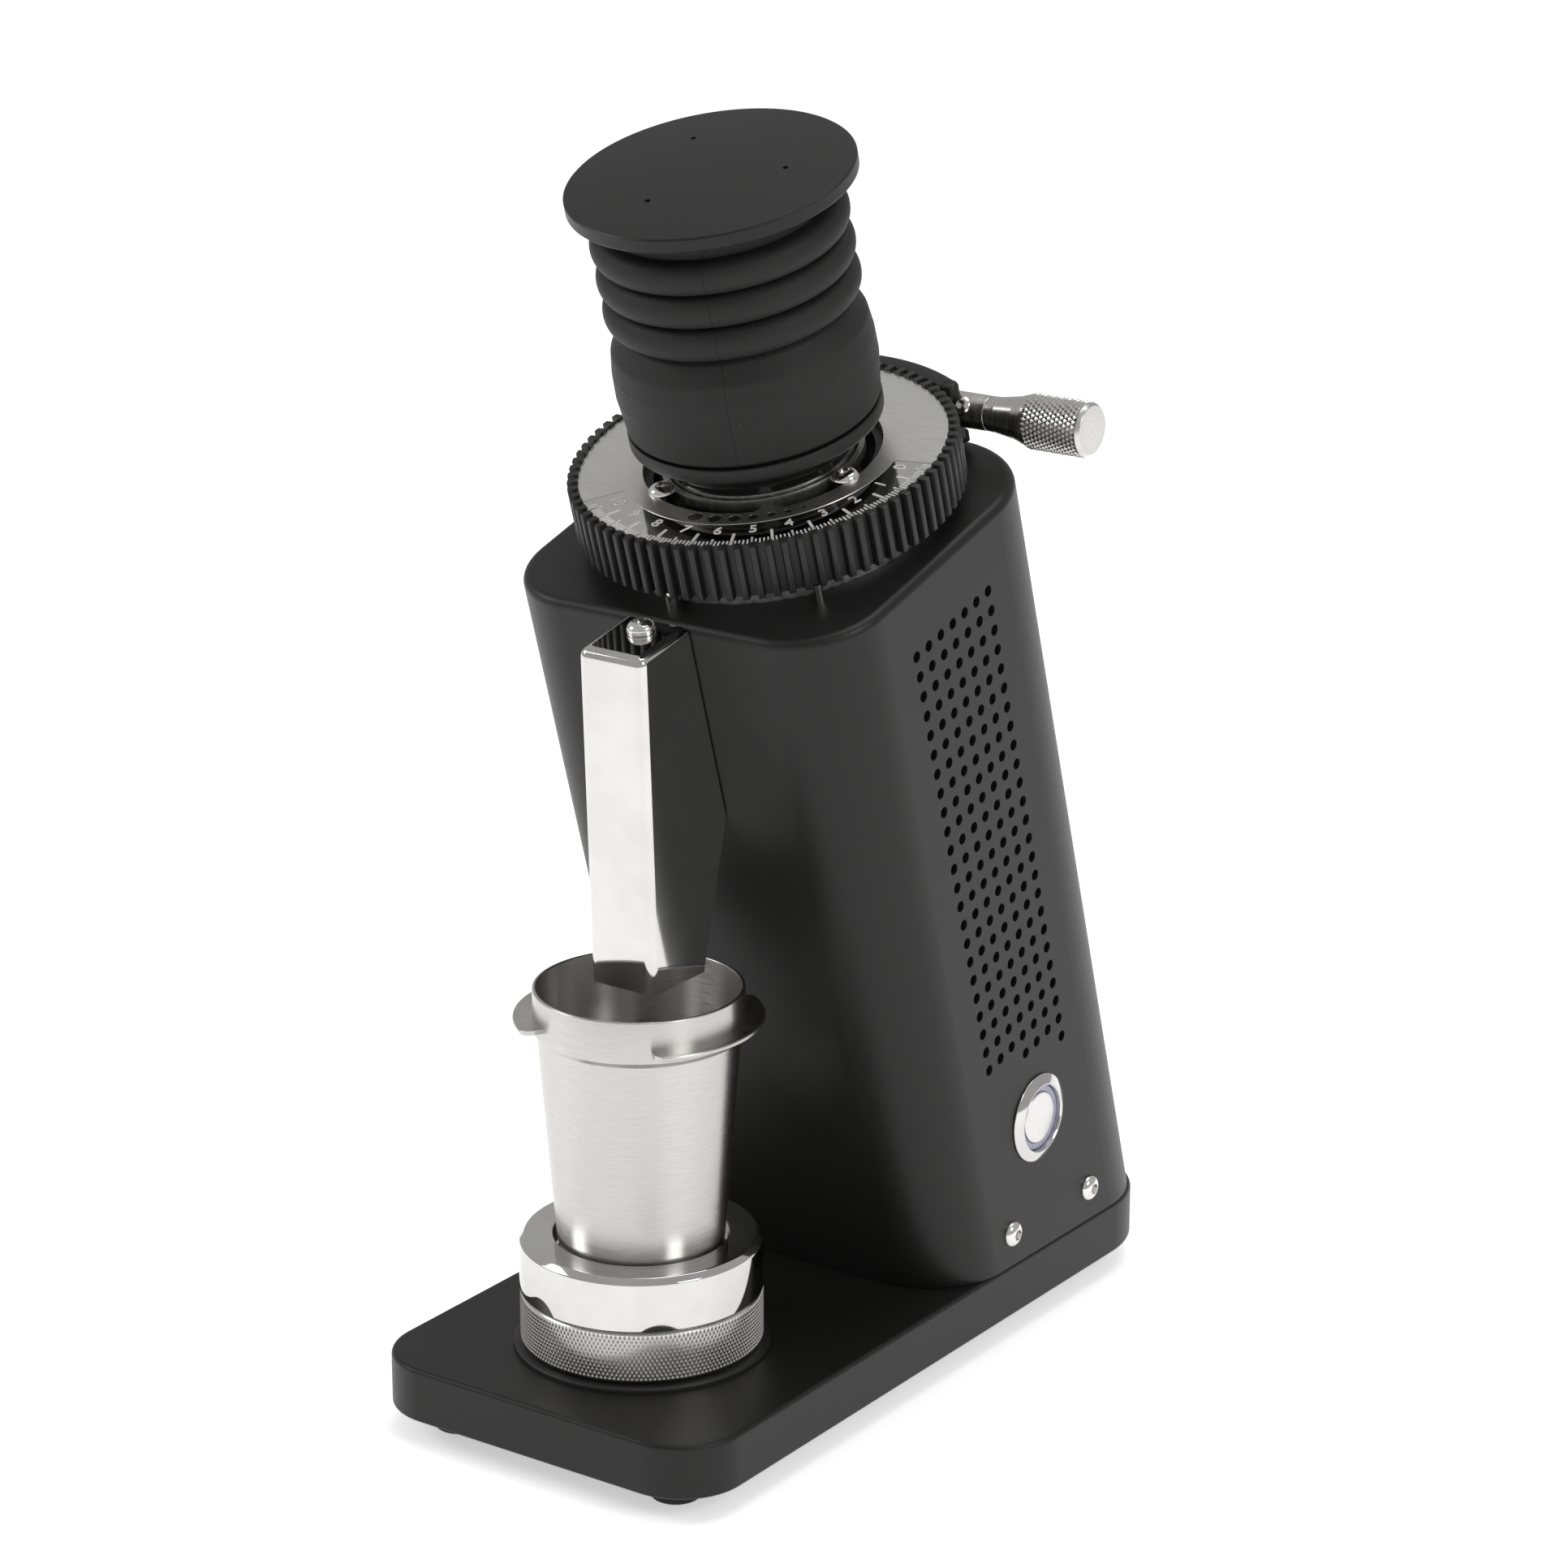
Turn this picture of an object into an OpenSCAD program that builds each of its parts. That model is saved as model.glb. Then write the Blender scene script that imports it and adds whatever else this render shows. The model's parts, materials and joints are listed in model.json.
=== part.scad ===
// Single-dose burr coffee grinder: leaning body, dial-adjusted flat burrs,
// bellows hopper, side push button and a screw-height cup stand.
// The origin lies under the middle of the overall box, on the surface the feet stand on.
// +Z is up, the cup side faces -Y and the push button faces +X.

/* [Base] */
// Width of the base plate and of the body
base_width = 112; // [104:0.5:136]
// Front to rear length of the base plate
base_length = 236.4; // [225:0.1:290]
// Thickness of the base plate
base_thickness = 15.4; // [8:0.1:22]
// Corner radius of the base plate at the cup side
base_front_radius = 18.7; // [8:0.1:30]
// Corner radius of the base plate at the rear
base_rear_radius = 31; // [20:0.5:40]
// Height of a rubber foot
foot_height = 7; // [4:0.5:12]
// Radius of a rubber foot
foot_radius = 7.5; // [6:0.25:10]
// Foot centre, in from the front or rear edge
foot_inset = 17; // [12:0.5:30]
// Foot centre, in from the side edge
foot_side_inset = 19.5; // [12:0.5:30]

/* [Body] */
// Lean of the body towards the cup, in degrees
lean_angle = 16.5; // [12:0.1:20]
// Rear edge of the body, in from the rear edge of the base at the seam
body_rear_margin = 1.4; // [0:0.1:6]
// Top face of the body, measured along the leaning axis from the floor
body_top = 249.8; // [235:0.2:300]
// Leaning axis to the front wall
body_front = 56; // [54:0.5:66]
// Leaning axis to the rear wall
body_rear = 54.5; // [53:0.5:66]
// Corner radius of the body at the front
body_front_radius = 23; // [15:0.5:30]
// Corner radius of the body at the rear
body_rear_radius = 31; // [20:0.5:36]
// Thickness of the body walls
body_wall = 2.5; // [1.5:0.1:4]
// Thickness of the body top
top_thickness = 4; // [3:0.1:8]
// Height of the shell screws above the base plate
shell_screw_height = 10; // [8:0.5:14]
// Distance between the two shell screws of one side
shell_screw_spacing = 40.6; // [30:0.2:46]

/* [Vents] */
// Columns of vent holes
vent_columns = 7; // [3:1:8]
// Distance between columns
vent_column_pitch = 5.9; // [5:0.1:7]
// Distance between rows
vent_row_pitch = 6.07; // [5:0.01:8]
// Radius of a vent hole
vent_radius = 1.6; // [1:0.1:2]
// Top row, below the body top
vent_drop = 20.2; // [16:0.1:40]
// Middle column, towards the cup side of the leaning axis
vent_offset = 4; // [-6:0.1:8]
// Height above the floor that the rows stop at
vent_floor = 83.9; // [80:0.1:130]

/* [Grinding chamber] */
// Outer radius of the chamber
chamber_radius = 48; // [46:0.5:50]
// Radius of the space that the grounds are swept round
chamber_bore = 42; // [40:0.5:43]
// Thickness of the chamber floor
chamber_floor = 8; // [6:0.5:12]
// Outer radius of the collar that the adjusting ring turns on
collar_radius = 44.95; // [43:0.05:45.5]
// Radius of the bore that the upper burr carrier slides in
carrier_bore = 36; // [35:0.5:38]
// Outer radius of the burrs
burr_radius = 32; // [29:0.5:33]
// Hole radius of the burrs
burr_hole = 17.5; // [15:0.5:20]
// Thickness of a burr
burr_thickness = 6; // [5:0.5:8]
// Gap between the burrs at the dial setting shown
burr_gap = 0.5; // [0.45:0.05:1]
// Width of the grounds outlet
outlet_width = 15; // [10:0.5:15]
// Height of the grounds outlet
outlet_height = 18; // [12:0.5:18]

/* [Motor] */
// Radius of the motor
motor_radius = 36; // [28:0.5:40]
// Length of the motor
motor_length = 98; // [80:1:104]
// Radius of the motor shaft
shaft_radius = 5; // [4:0.5:6]

/* [Dial] */
// Radius over the ribs of the adjusting ring
ring_radius = 53; // [52:0.1:55]
// Depth of the ribs
rib_depth = 2.4; // [1:0.1:2.4]
// Number of ribs
rib_count = 80; // [40:1:100]
// Height of the adjusting ring
ring_height = 15.5; // [14:0.5:22]
// Gap between the body top and the adjusting ring
ring_gap = 5.5; // [5:0.1:8]
// Thickness of the dial disc
disc_thickness = 2.5; // [2:0.1:4]
// Depth of the dial disc under the top of the ring
disc_sink = 0.8; // [0.2:0.1:1.5]
// Depth of the scale recess in the dial disc
scale_depth = 0.4; // [0.2:0.1:0.8]
// Thickness of the ring's web under the disc
web_thickness = 5; // [4:0.5:6]
// Radius of the circle that the dial screws lie on
dial_screw_circle = 30; // [29.9:0.1:30.6]
// Width of the slots in the dial disc
slot_width = 5; // [4.4:0.1:5.4]
// Radius of the thread that lifts the upper burr
thread_radius = 25; // [23:0.5:25]

/* [Lever] */
// Outer radius of the lever arm
arm_radius = 59.4; // [58:0.1:62]
// Height of the lever arm
arm_height = 12; // [11:0.5:13]
// Angle of the arm's end at the handle
arm_start = 59; // [55:1:60]
// Angle of the arm's far end
arm_end = 128; // [110:1:130]
// Reach of the handle from the leaning axis
handle_reach = 70.8; // [66:0.1:90]
// Radius of the knurled grip
grip_radius = 7.8; // [6:0.1:8]
// Length of the knurled grip
grip_length = 19.5; // [12:0.5:20]
// Radius of the handle's neck
handle_neck_radius = 4.85; // [4:0.05:5]

/* [Hopper] */
// Radius of the hopper flange
flange_radius = 34.3; // [33.5:0.1:36]
// Height of the hopper flange
flange_height = 5.2; // [4:0.1:8]
// Height of the flange above the dial disc
neck_height = 8.3; // [7:0.1:14]
// Clearance of the hopper's neck over the dial disc
neck_clearance = 0.9; // [0.6:0.1:2]
// Radius of the bean throat
throat_radius = 16; // [12:0.5:17]
// Radius of the spigot that the bellows fit over
spigot_radius = 30.5; // [28:0.5:31]
// Length of the bellows from flange to lid
bellows_length = 64.4; // [55:0.2:90]
// Radius over the convolutions
bellows_radius = 34; // [33.5:0.1:36]
// Distance between convolutions
bellows_pitch = 9.4; // [7:0.1:10]
// Number of convolutions
bellows_count = 3; // [2:1:3]
// Thickness of the rubber
bellows_wall = 2.2; // [1.5:0.1:2.5]
// Radius of the lid
lid_radius = 38.5; // [37:0.1:42]
// Thickness of the lid at its edge
lid_thickness = 4; // [3:0.1:6]
// Height of the lid's dome
lid_dome = 1.6; // [0.5:0.1:3]

/* [Chute] */
// Width of the chute
chute_width = 21; // [19.5:0.5:26]
// Front of the chute, ahead of the body's front edge at the top
chute_depth = 16.3; // [14:0.1:24]
// Lean of the chute's front face over its height
chute_front_lean = 3.8; // [0:0.1:5]
// Slope of the chute's top face, in degrees
chute_top_slope = 11.5; // [10:0.5:16.5]
// Height of the chute's mouth above the floor
chute_mouth = 126.5; // [126:0.5:150]
// Thickness of the chute's walls
chute_wall = 1.5; // [1:0.1:2]

/* [Cup and stand] */
// Cup centre, in from the front edge of the base
cup_inset = 51.1; // [40:0.1:56]
// Radius of the cup stand
stand_radius = 33.1; // [32:0.1:34]
// Thickness of the pad under the stand
pad_thickness = 1.4; // [1:0.1:3]
// Height of the knurled ring
knurl_height = 15; // [14:0.5:20]
// Height of the polished platform
platform_height = 15.7; // [13:0.1:20]
// Depth of the cup recess
recess_depth = 3; // [1.5:0.1:4]
// Radius of the cup recess
recess_radius = 23.85; // [23.2:0.05:26]
// Height of the cup
cup_height = 73.6; // [60:0.1:75]
// Radius of the cup's rim
cup_rim_radius = 28.4; // [27:0.1:30]
// Radius of the cup at its base
cup_base_radius = 22.6; // [20:0.1:23]
// Thickness of the cup's wall
cup_wall = 1; // [0.6:0.1:2]
// Height of the cup's rim band
rim_band = 12; // [8:0.5:20]
// Reach of the cup's ears beyond the rim
ear_reach = 5.3; // [3:0.1:6]
// Angle that the cup is turned to
cup_turn = 7.6; // [0:0.1:20]

/* [Button] */
// Radius of the button's bezel
bezel_radius = 12.7; // [12:0.1:14]
// Height of the button above the floor
button_height = 63.7; // [60:0.1:66]
// Travel of the button
button_travel = 2.5; // [1:0.5:3]

/* [Fits] */
// Radial clearance of running and sliding fits
running_gap = 0.05; // [0.02:0.01:0.1]
// Gap between pieces that pass without touching
free_gap = 0.4; // [0.3:0.1:0.6]
// Radial clearance of a screw in its hole
screw_gap = 0.1; // [0.05:0.05:0.3]

/* [Hidden] */
$fn = 96;

black = [0.09, 0.09, 0.1];
steel = [0.78, 0.78, 0.8];

// overall layout
box_shift = (handle_reach - base_width / 2) / 2;
base_top = foot_height + base_thickness;
axis_y = base_length / 2 - body_rear_margin - body_rear / cos(lean_angle) + base_top * tan(lean_angle);
half_width = base_width / 2;
inner_half = half_width - body_wall;
cup_y = cup_inset - base_length / 2;
foot_x = half_width - foot_side_inset;
foot_y = base_length / 2 - foot_inset;

// heights along the leaning axis
under_top = body_top - top_thickness;
ring_low = body_top + ring_gap;
ring_top = ring_low + ring_height;
disc_top = ring_top - disc_sink;
disc_low = disc_top - disc_thickness;
web_low = disc_low - web_thickness;
collar_top = web_low - free_gap;
neck_low = disc_top + neck_clearance;
flange_low = disc_top + neck_height;
flange_top = flange_low + flange_height;
bellows_low = flange_top + free_gap;
bellows_top = bellows_low + bellows_length;
lid_low = bellows_top;
chamber_height = 39.8;
outlet_low = under_top - chamber_height + 2;
cavity_low = under_top - chamber_height;
housing_low = cavity_low - chamber_floor;
lower_burr_low = cavity_low + 12;
burr_plane = lower_burr_low + burr_thickness;
upper_burr_low = burr_plane + burr_gap;
carrier_low = upper_burr_low + burr_thickness;
carrier_flange = 9;
cavity_top = burr_plane + 2;
bearing_radius = 11;
bearing_length = 7;
end_cap_height = 8;
bell_wall = 2.5;
stator_depth = 9.4;
stator_inset = 18;
motor_top = housing_low;
motor_low = motor_top - motor_length;

// screws
m3 = 1.5;
m4 = 2;
m5 = 2.5;
m4_head = 3.8;
m4_head_height = 2.3;
ring_root = ring_radius - rib_depth;
stop_circle = ring_root - 1.2;
dial_screw_angles = [-119.5, -9, 115.5];
slot_turn = 6.5;
slot_sweep = 114;
detent_count = 31;
detent_step = 130.5 / (detent_count - 1);
stop_low_angle = -42;
stop_high_angle = 164.2;
detent_circle = collar_radius + 2.85;

// stand
pad_top = base_top + pad_thickness;
ring_base = pad_top;
platform_low = ring_base + knurl_height;
platform_top = platform_low + platform_height;
cup_low = platform_top - recess_depth;
cup_top = cup_low + cup_height;
post_radius = 14;
post_flange = 18;
key_width = 4;
key_height = 2;
stand_wall = 4;

module upright() {
  translate([-box_shift, 0, 0]) children();
}

module lean() {
  translate([-box_shift, axis_y, 0]) rotate([lean_angle, 0, 0]) children();
}

module at_stand() {
  translate([-box_shift, cup_y, 0]) children();
}

module tube(outer, inner, height) {
  difference() {
    cylinder(r = outer, h = height);
    translate([0, 0, -1]) cylinder(r = inner, h = height + 2);
  }
}

// domed head with a hexagon socket, head up, shank down from z = 0
module button_screw(radius, length, head_radius, head_height) {
  dome_radius = (head_radius * head_radius + head_height * head_height) / (2 * head_height);
  socket = radius * 1.15 / 2 * 1.155;
  difference() {
    union() {
      intersection() {
        translate([0, 0, head_height - dome_radius]) sphere(r = dome_radius);
        cylinder(r = head_radius, h = head_height);
      }
      translate([0, 0, -length]) cylinder(r = radius, h = length + 0.5);
    }
    translate([0, 0, head_height - 1.4]) cylinder(r = socket, h = 2, $fn = 6);
  }
}

// rounded rectangle from y = -front to y = rear, with its own corner radii
module slab_outline(half, front, rear, front_radius, rear_radius) {
  union() {
    translate([-half, -front + front_radius]) square([2 * half, front + rear - front_radius - rear_radius]);
    translate([-half + front_radius, -front]) square([2 * (half - front_radius), front_radius + 0.5]);
    translate([-half + rear_radius, rear - rear_radius - 0.5])
      square([2 * (half - rear_radius), rear_radius + 0.5]);
    for (side = [-1, 1]) {
      translate([side * (half - front_radius), -front + front_radius]) circle(r = front_radius);
      translate([side * (half - rear_radius), rear - rear_radius]) circle(r = rear_radius);
    }
  }
}

module foot_places() {
  for (x = [-foot_x, foot_x], y = [-foot_y, foot_y]) translate([x, y, 0]) children();
}

shell_screw_y = axis_y - (base_top + shell_screw_height) * tan(lean_angle) - 4.9;
module shell_screw_places() {
  for (side = [-1, 1], end = [-1, 1])
    translate([side * half_width, shell_screw_y + end * shell_screw_spacing / 2, base_top + shell_screw_height])
      rotate([0, side * 90, 0]) children();
}

bracket_x = inner_half - 6;
module bracket_screw_places() {
  for (side = [-1, 1], end = [-0.3, 0.3])
    translate([side * bracket_x, shell_screw_y + end * shell_screw_spacing, 0]) children();
}

module base_plate() {
  color(black) upright() difference() {
    translate([0, 0, foot_height]) linear_extrude(base_thickness)
      slab_outline(half_width, base_length / 2, base_length / 2, base_front_radius, base_rear_radius);
    foot_places() translate([0, 0, foot_height - 1]) cylinder(r = m4, h = 11);
    bracket_screw_places() {
      translate([0, 0, foot_height - 1]) cylinder(r = m4 + screw_gap, h = base_thickness + 2);
      translate([0, 0, foot_height - 1]) cylinder(r = m4_head + 0.5, h = 5);
    }
    translate([0, cup_y, foot_height - 1]) cylinder(r = m5 + screw_gap, h = base_thickness + 2);
    translate([0, cup_y, foot_height - 1]) cylinder(r = 5.5, h = 5.2);
  }
}

module rubber_feet() {
  color([0.05, 0.05, 0.05]) upright() foot_places() difference() {
    cylinder(r = foot_radius, h = foot_height);
    translate([0, 0, -1]) cylinder(r = m4 + screw_gap, h = foot_height + 2);
    translate([0, 0, -1]) cylinder(r = 3.6, h = 4);
  }
}

module foot_screws() {
  color(steel) upright() foot_places() difference() {
    union() {
      translate([0, 0, 1]) cylinder(r = 3.5, h = 2);
      translate([0, 0, 2.5]) cylinder(r = m4 - screw_gap, h = foot_height + 5);
    }
    translate([0, 0, 0]) cylinder(r = 1.4, h = 2.2, $fn = 6);
  }
}

module stand_pad() {
  color(black) at_stand() translate([0, 0, base_top]) tube(stand_radius + 1.9, post_flange + free_gap, pad_thickness);
}

module stand_post() {
  color(steel) at_stand() {
    translate([0, 0, base_top]) cylinder(r = post_flange, h = pad_thickness);
    translate([0, 0, base_top]) cylinder(r = post_radius, h = pad_thickness + knurl_height + 6);
    translate([0, 0, foot_height + 4.2]) cylinder(r = m5, h = base_thickness - 4);
    translate([0, 0, foot_height + 1.2]) cylinder(r = 5, h = 3);
    translate([0, -key_width / 2, pad_top + 4]) cube([post_radius + key_height, key_width, knurl_height + 2]);
  }
}

module knurled_ring() {
  color(steel) at_stand() difference() {
    translate([0, 0, ring_base]) cylinder(r = stand_radius, h = knurl_height);
    translate([0, 0, ring_base - 1]) cylinder(r = post_radius + running_gap + 2.4, h = 6);
    translate([0, 0, ring_base + 3.5]) cylinder(r = stand_radius - stand_wall, h = knurl_height);
  }
}

module cup_platform() {
  skirt = stand_radius - stand_wall - running_gap;
  color([0.85, 0.85, 0.87]) at_stand() difference() {
    union() {
      translate([0, 0, platform_low]) cylinder(r = stand_radius, h = platform_height);
      translate([0, 0, ring_base + 4.5]) cylinder(r = skirt, h = knurl_height);
    }
    translate([0, 0, cup_low]) cylinder(r = recess_radius, h = recess_depth + 1);
    translate([0, 0, ring_base]) cylinder(r = skirt - 5, h = knurl_height - 1);
    translate([0, 0, ring_base + 3]) cylinder(r = post_radius + running_gap, h = knurl_height + 3.5);
    translate([0, -key_width / 2 - running_gap, ring_base + 3])
      cube([post_radius + key_height + running_gap, key_width + 2 * running_gap, knurl_height + 3.5]);
  }
}

cup_shoulder = cup_top - rim_band;
module dosing_cup() {
  ear_top = cup_top - 7.8;
  ear_thickness = 1.4;
  ear_half_angle = 54;
  shoulder_radius = cup_rim_radius - 1.1;
  color(steel) at_stand() rotate([0, 0, cup_turn]) {
    rotate_extrude() polygon([
      [0, cup_low], [cup_base_radius - 1.2, cup_low], [cup_base_radius, cup_low + 1.2],
      [shoulder_radius, cup_shoulder - 1], [cup_rim_radius, cup_shoulder + 0.4],
      [cup_rim_radius, cup_top], [cup_rim_radius - cup_wall, cup_top],
      [cup_rim_radius - cup_wall, cup_shoulder + 0.4], [shoulder_radius - cup_wall, cup_shoulder - 1],
      [cup_base_radius - cup_wall, cup_low + cup_wall + 0.6], [0, cup_low + cup_wall]
    ]);
    difference() {
      translate([0, 0, ear_top - ear_thickness])
        tube(cup_rim_radius + ear_reach, cup_rim_radius - cup_wall / 2, ear_thickness);
      for (side = [-1, 1]) rotate([0, 0, side * 90]) translate([0, 0, ear_top - 3]) linear_extrude(6)
        polygon([[0, 0], [60, -60 / tan(ear_half_angle)], [60, 60 / tan(ear_half_angle)]]);
    }
  }
}

module vent_places() {
  column_span = (vent_columns - 1) * vent_column_pitch;
  rows = floor((body_top - vent_drop) / vent_row_pitch);
  for (i = [0 : vent_columns - 1], j = [0 : rows]) {
    v = i * vent_column_pitch - column_span / 2 - vent_offset;
    w = body_top - vent_drop - j * vent_row_pitch;
    if (v * sin(lean_angle) + w * cos(lean_angle) > vent_floor) translate([0, v, w]) children();
  }
}

button_v = -3.6;
button_w = (button_height - button_v * sin(lean_angle)) / cos(lean_angle);
inlet_w = 47;
inlet_half = 24;
inlet_half_height = 11.5;
board_w = 72;
board_height = 76;
board_half = 27;
board_v = body_rear - body_wall - 5;

module chamber_screw_places() {
  for (turn = [45 : 90 : 315]) rotate([0, 0, turn]) translate([collar_radius + 1.55 + 0.5, 0, 0]) children();
}

module body_shell() {
  color(black) difference() {
    lean() difference() {
      linear_extrude(body_top)
        slab_outline(half_width, body_front, body_rear, body_front_radius, body_rear_radius);
      translate([0, 0, -20]) linear_extrude(under_top + 20)
        slab_outline(inner_half, body_front - body_wall, body_rear - body_wall,
                     body_front_radius - body_wall, body_rear_radius - body_wall);
      translate([0, 0, under_top - 1]) cylinder(r = collar_radius + 0.3, h = top_thickness + 2);
      vent_places() translate([-half_width - 1, 0, 0]) rotate([0, 90, 0])
        cylinder(r = vent_radius, h = base_width + 2, $fn = 24);
      translate([inner_half - 1, button_v, button_w]) rotate([0, 90, 0]) cylinder(r = 11, h = body_wall + 2);
      translate([-outlet_width / 2 - 1.6, -body_front - 1, outlet_low - 1.6])
        cube([outlet_width + 3.2, body_wall + 2, outlet_height + 3.2]);
      translate([-inlet_half + 10, body_rear - body_wall - 1, inlet_w - 10]) cube([2 * inlet_half - 20, 10, 20]);
      for (side = [-1, 1]) translate([side * 20, body_rear + 1, inlet_w]) rotate([90, 0, 0])
        cylinder(r = m3 + screw_gap, h = body_wall + 2);
      for (side = [-1, 1]) translate([side * 5.5, -body_front + body_wall + 1, body_top - 9]) rotate([90, 0, 0])
        cylinder(r = m3 + screw_gap, h = body_wall + 2);
      for (turn = [stop_low_angle, stop_high_angle]) rotate([0, 0, turn])
        translate([stop_circle, 0, body_top - 3]) cylinder(r = 1.2, h = 5);
      rotate([0, 0, -90]) translate([detent_circle, 0, body_top - 3]) cylinder(r = 2, h = 5);
    }
    upright() translate([-100, -200, -50]) cube([200, 400, 50 + base_top]);
    upright() shell_screw_places() translate([0, 0, -body_wall - 1])
      cylinder(r = m4 + screw_gap, h = body_wall + 3);
  }
}

module shell_brackets() {
  color([0.6, 0.6, 0.62]) upright() difference() {
    for (side = [-1, 1]) translate([side * bracket_x - 6, shell_screw_y - shell_screw_spacing / 2 - 7, base_top])
      cube([12, shell_screw_spacing + 14, shell_screw_height + 7]);
    shell_screw_places() translate([0, 0, -16]) cylinder(r = m4, h = 20);
    bracket_screw_places() translate([0, 0, base_top - 1]) cylinder(r = m4, h = 9);
  }
}

module shell_screws() {
  color(steel) upright() shell_screw_places()
    button_screw(m4 - screw_gap, 10, m4_head, m4_head_height);
}

module bracket_screws() {
  color(steel) upright() bracket_screw_places() translate([0, 0, foot_height + 4]) rotate([180, 0, 0])
    button_screw(m4 - screw_gap, base_thickness + 3, m4_head, m4_head_height);
}

module chamber_housing() {
  color([0.55, 0.55, 0.57]) lean() difference() {
    union() {
      translate([0, 0, housing_low]) cylinder(r = chamber_radius, h = under_top - housing_low);
      translate([0, 0, under_top - 1]) cylinder(r = collar_radius, h = collar_top - under_top + 1);
    }
    translate([0, 0, cavity_low]) cylinder(r = chamber_bore, h = cavity_top - cavity_low);
    translate([0, 0, cavity_low]) cylinder(r = carrier_bore, h = collar_top - cavity_low + 1);
    translate([0, 0, housing_low - 1]) cylinder(r = shaft_radius + 3, h = chamber_floor + 2);
    translate([0, 0, housing_low - 1]) cylinder(r = bearing_radius, h = 4.5);
    translate([-outlet_width / 2, -chamber_radius - 1, outlet_low])
      cube([outlet_width, chamber_radius - 30, outlet_height]);
    motor_screw_places() translate([0, 0, housing_low - 1]) cylinder(r = m4 + screw_gap, h = chamber_floor + 2);
    motor_screw_places() translate([0, 0, cavity_low - 2.6]) cylinder(r = m4_head + 0.3, h = 4);
    for (turn = [30, 150, 270]) rotate([0, 0, turn]) translate([carrier_bore, 0, carrier_low - 1])
      cylinder(r = 1.5, h = collar_top - carrier_low + 2);
    chamber_screw_places() translate([0, 0, under_top - 8]) cylinder(r = m3, h = 9);
  }
}

module motor_screw_places() {
  for (turn = [45 : 90 : 315]) rotate([0, 0, turn]) translate([20, 0, 0]) children();
}

module chamber_screws() {
  color(steel) lean() chamber_screw_places() translate([0, 0, under_top - 7])
    cylinder(r = m3 - screw_gap, h = 7);
}

module carrier_keys() {
  color(steel) lean() for (turn = [30, 150, 270]) rotate([0, 0, turn])
    translate([carrier_bore, 0, carrier_low - 0.5]) cylinder(r = 1.4, h = collar_top - carrier_low);
}

module grounds_outlet() {
  color([0.3, 0.3, 0.32]) lean() translate([0, 0, outlet_low]) difference() {
    translate([-outlet_width / 2 - 1.5, -body_front - free_gap - 3, -1.5])
      cube([outlet_width + 3, body_front + free_gap + 3 - chamber_radius + 0.6, outlet_height + 3]);
    translate([-outlet_width / 2, -body_front - 10, 0]) cube([outlet_width, 40, outlet_height]);
    translate([0, 0, -5]) cylinder(r = chamber_radius, h = outlet_height + 10);
  }
}

module declumper_flap() {
  color([0.2, 0.2, 0.2]) lean() translate([-outlet_width / 2 + 0.5, -body_front - 0.4, outlet_low + 2.5])
    cube([outlet_width - 1, 0.6, outlet_height - 2.7]);
}

// side view of the chute as [y, z] in the upright frame
function lean_yz(v, w) = [axis_y + v * cos(lean_angle) - w * sin(lean_angle),
                          v * sin(lean_angle) + w * cos(lean_angle)];
chute_back = -body_front - free_gap;
chute_kink_w = 191.3;
top_rear = lean_yz(chute_back, body_top);
chute_front_y = top_rear[0] - chute_depth;
top_front_y = chute_front_y - chute_front_lean;
top_front_z = top_rear[1] - (chute_depth + chute_front_lean) * tan(chute_top_slope);
kink = lean_yz(chute_back, chute_kink_w);
chute_mouth_rear = chute_front_y + 22.7;
chute_screw_inset = 6;
washer_thickness = 1.2;

module chute_outline() {
  polygon([[chute_front_y, chute_mouth], [chute_mouth_rear, chute_mouth], kink, top_rear,
           [top_front_y, top_front_z]]);
}

module at_chute_top() {
  upright() translate([0, top_rear[0] - chute_screw_inset, top_rear[1] - chute_screw_inset * tan(chute_top_slope)])
    rotate([chute_top_slope, 0, 0]) children();
}

module chute_slab(width) {
  rotate([90, 0, 90]) translate([0, 0, -width / 2]) linear_extrude(width) children();
}

module chute() {
  color([0.88, 0.88, 0.9]) difference() {
    upright() difference() {
      chute_slab(chute_width) chute_outline();
      chute_slab(chute_width - 2 * chute_wall) offset(delta = -chute_wall) chute_outline();
      translate([-chute_width / 2 + chute_wall, chute_front_y + chute_wall, chute_mouth - 2])
        cube([chute_width - 2 * chute_wall, chute_mouth_rear - chute_front_y - 2 * chute_wall, 5]);
    }
    lean() translate([-outlet_width / 2 - 1.8, chute_back - 5, outlet_low - 1.8])
      cube([outlet_width + 3.6, 10, outlet_height + 3.6]);
    lean() translate([-7.5, chute_back - chute_wall - 0.1, body_top - 13]) cube([15, 5, 13 - chute_wall]);
    at_chute_top() translate([0, 0, -5]) cylinder(r = m4 + screw_gap, h = 10);
  }
}

module chute_hanger() {
  hanger_low = body_top - 12.6;
  color([0.5, 0.5, 0.52]) difference() {
    lean() difference() {
      translate([-7, -body_front - 12, hanger_low]) cube([14, 12, body_top - chute_wall - 0.5 - hanger_low]);
      for (side = [-1, 1]) translate([side * 5.5, -body_front + 1, body_top - 9]) rotate([90, 0, 0])
        cylinder(r = 1, h = 6);
      translate([-20, -body_front - 20, hanger_low - 4]) rotate([30, 0, 0]) cube([40, 20, 4]);
    }
    at_chute_top() translate([0, 0, -20]) cylinder(r = m4, h = 30);
  }
}

module chute_washer() {
  color(steel) at_chute_top() tube(m4_head, m4 + screw_gap, washer_thickness);
}

module chute_screw() {
  color(steel) at_chute_top() translate([0, 0, washer_thickness])
    button_screw(m4 - screw_gap, 11, m4_head, m4_head_height);
}

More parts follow.
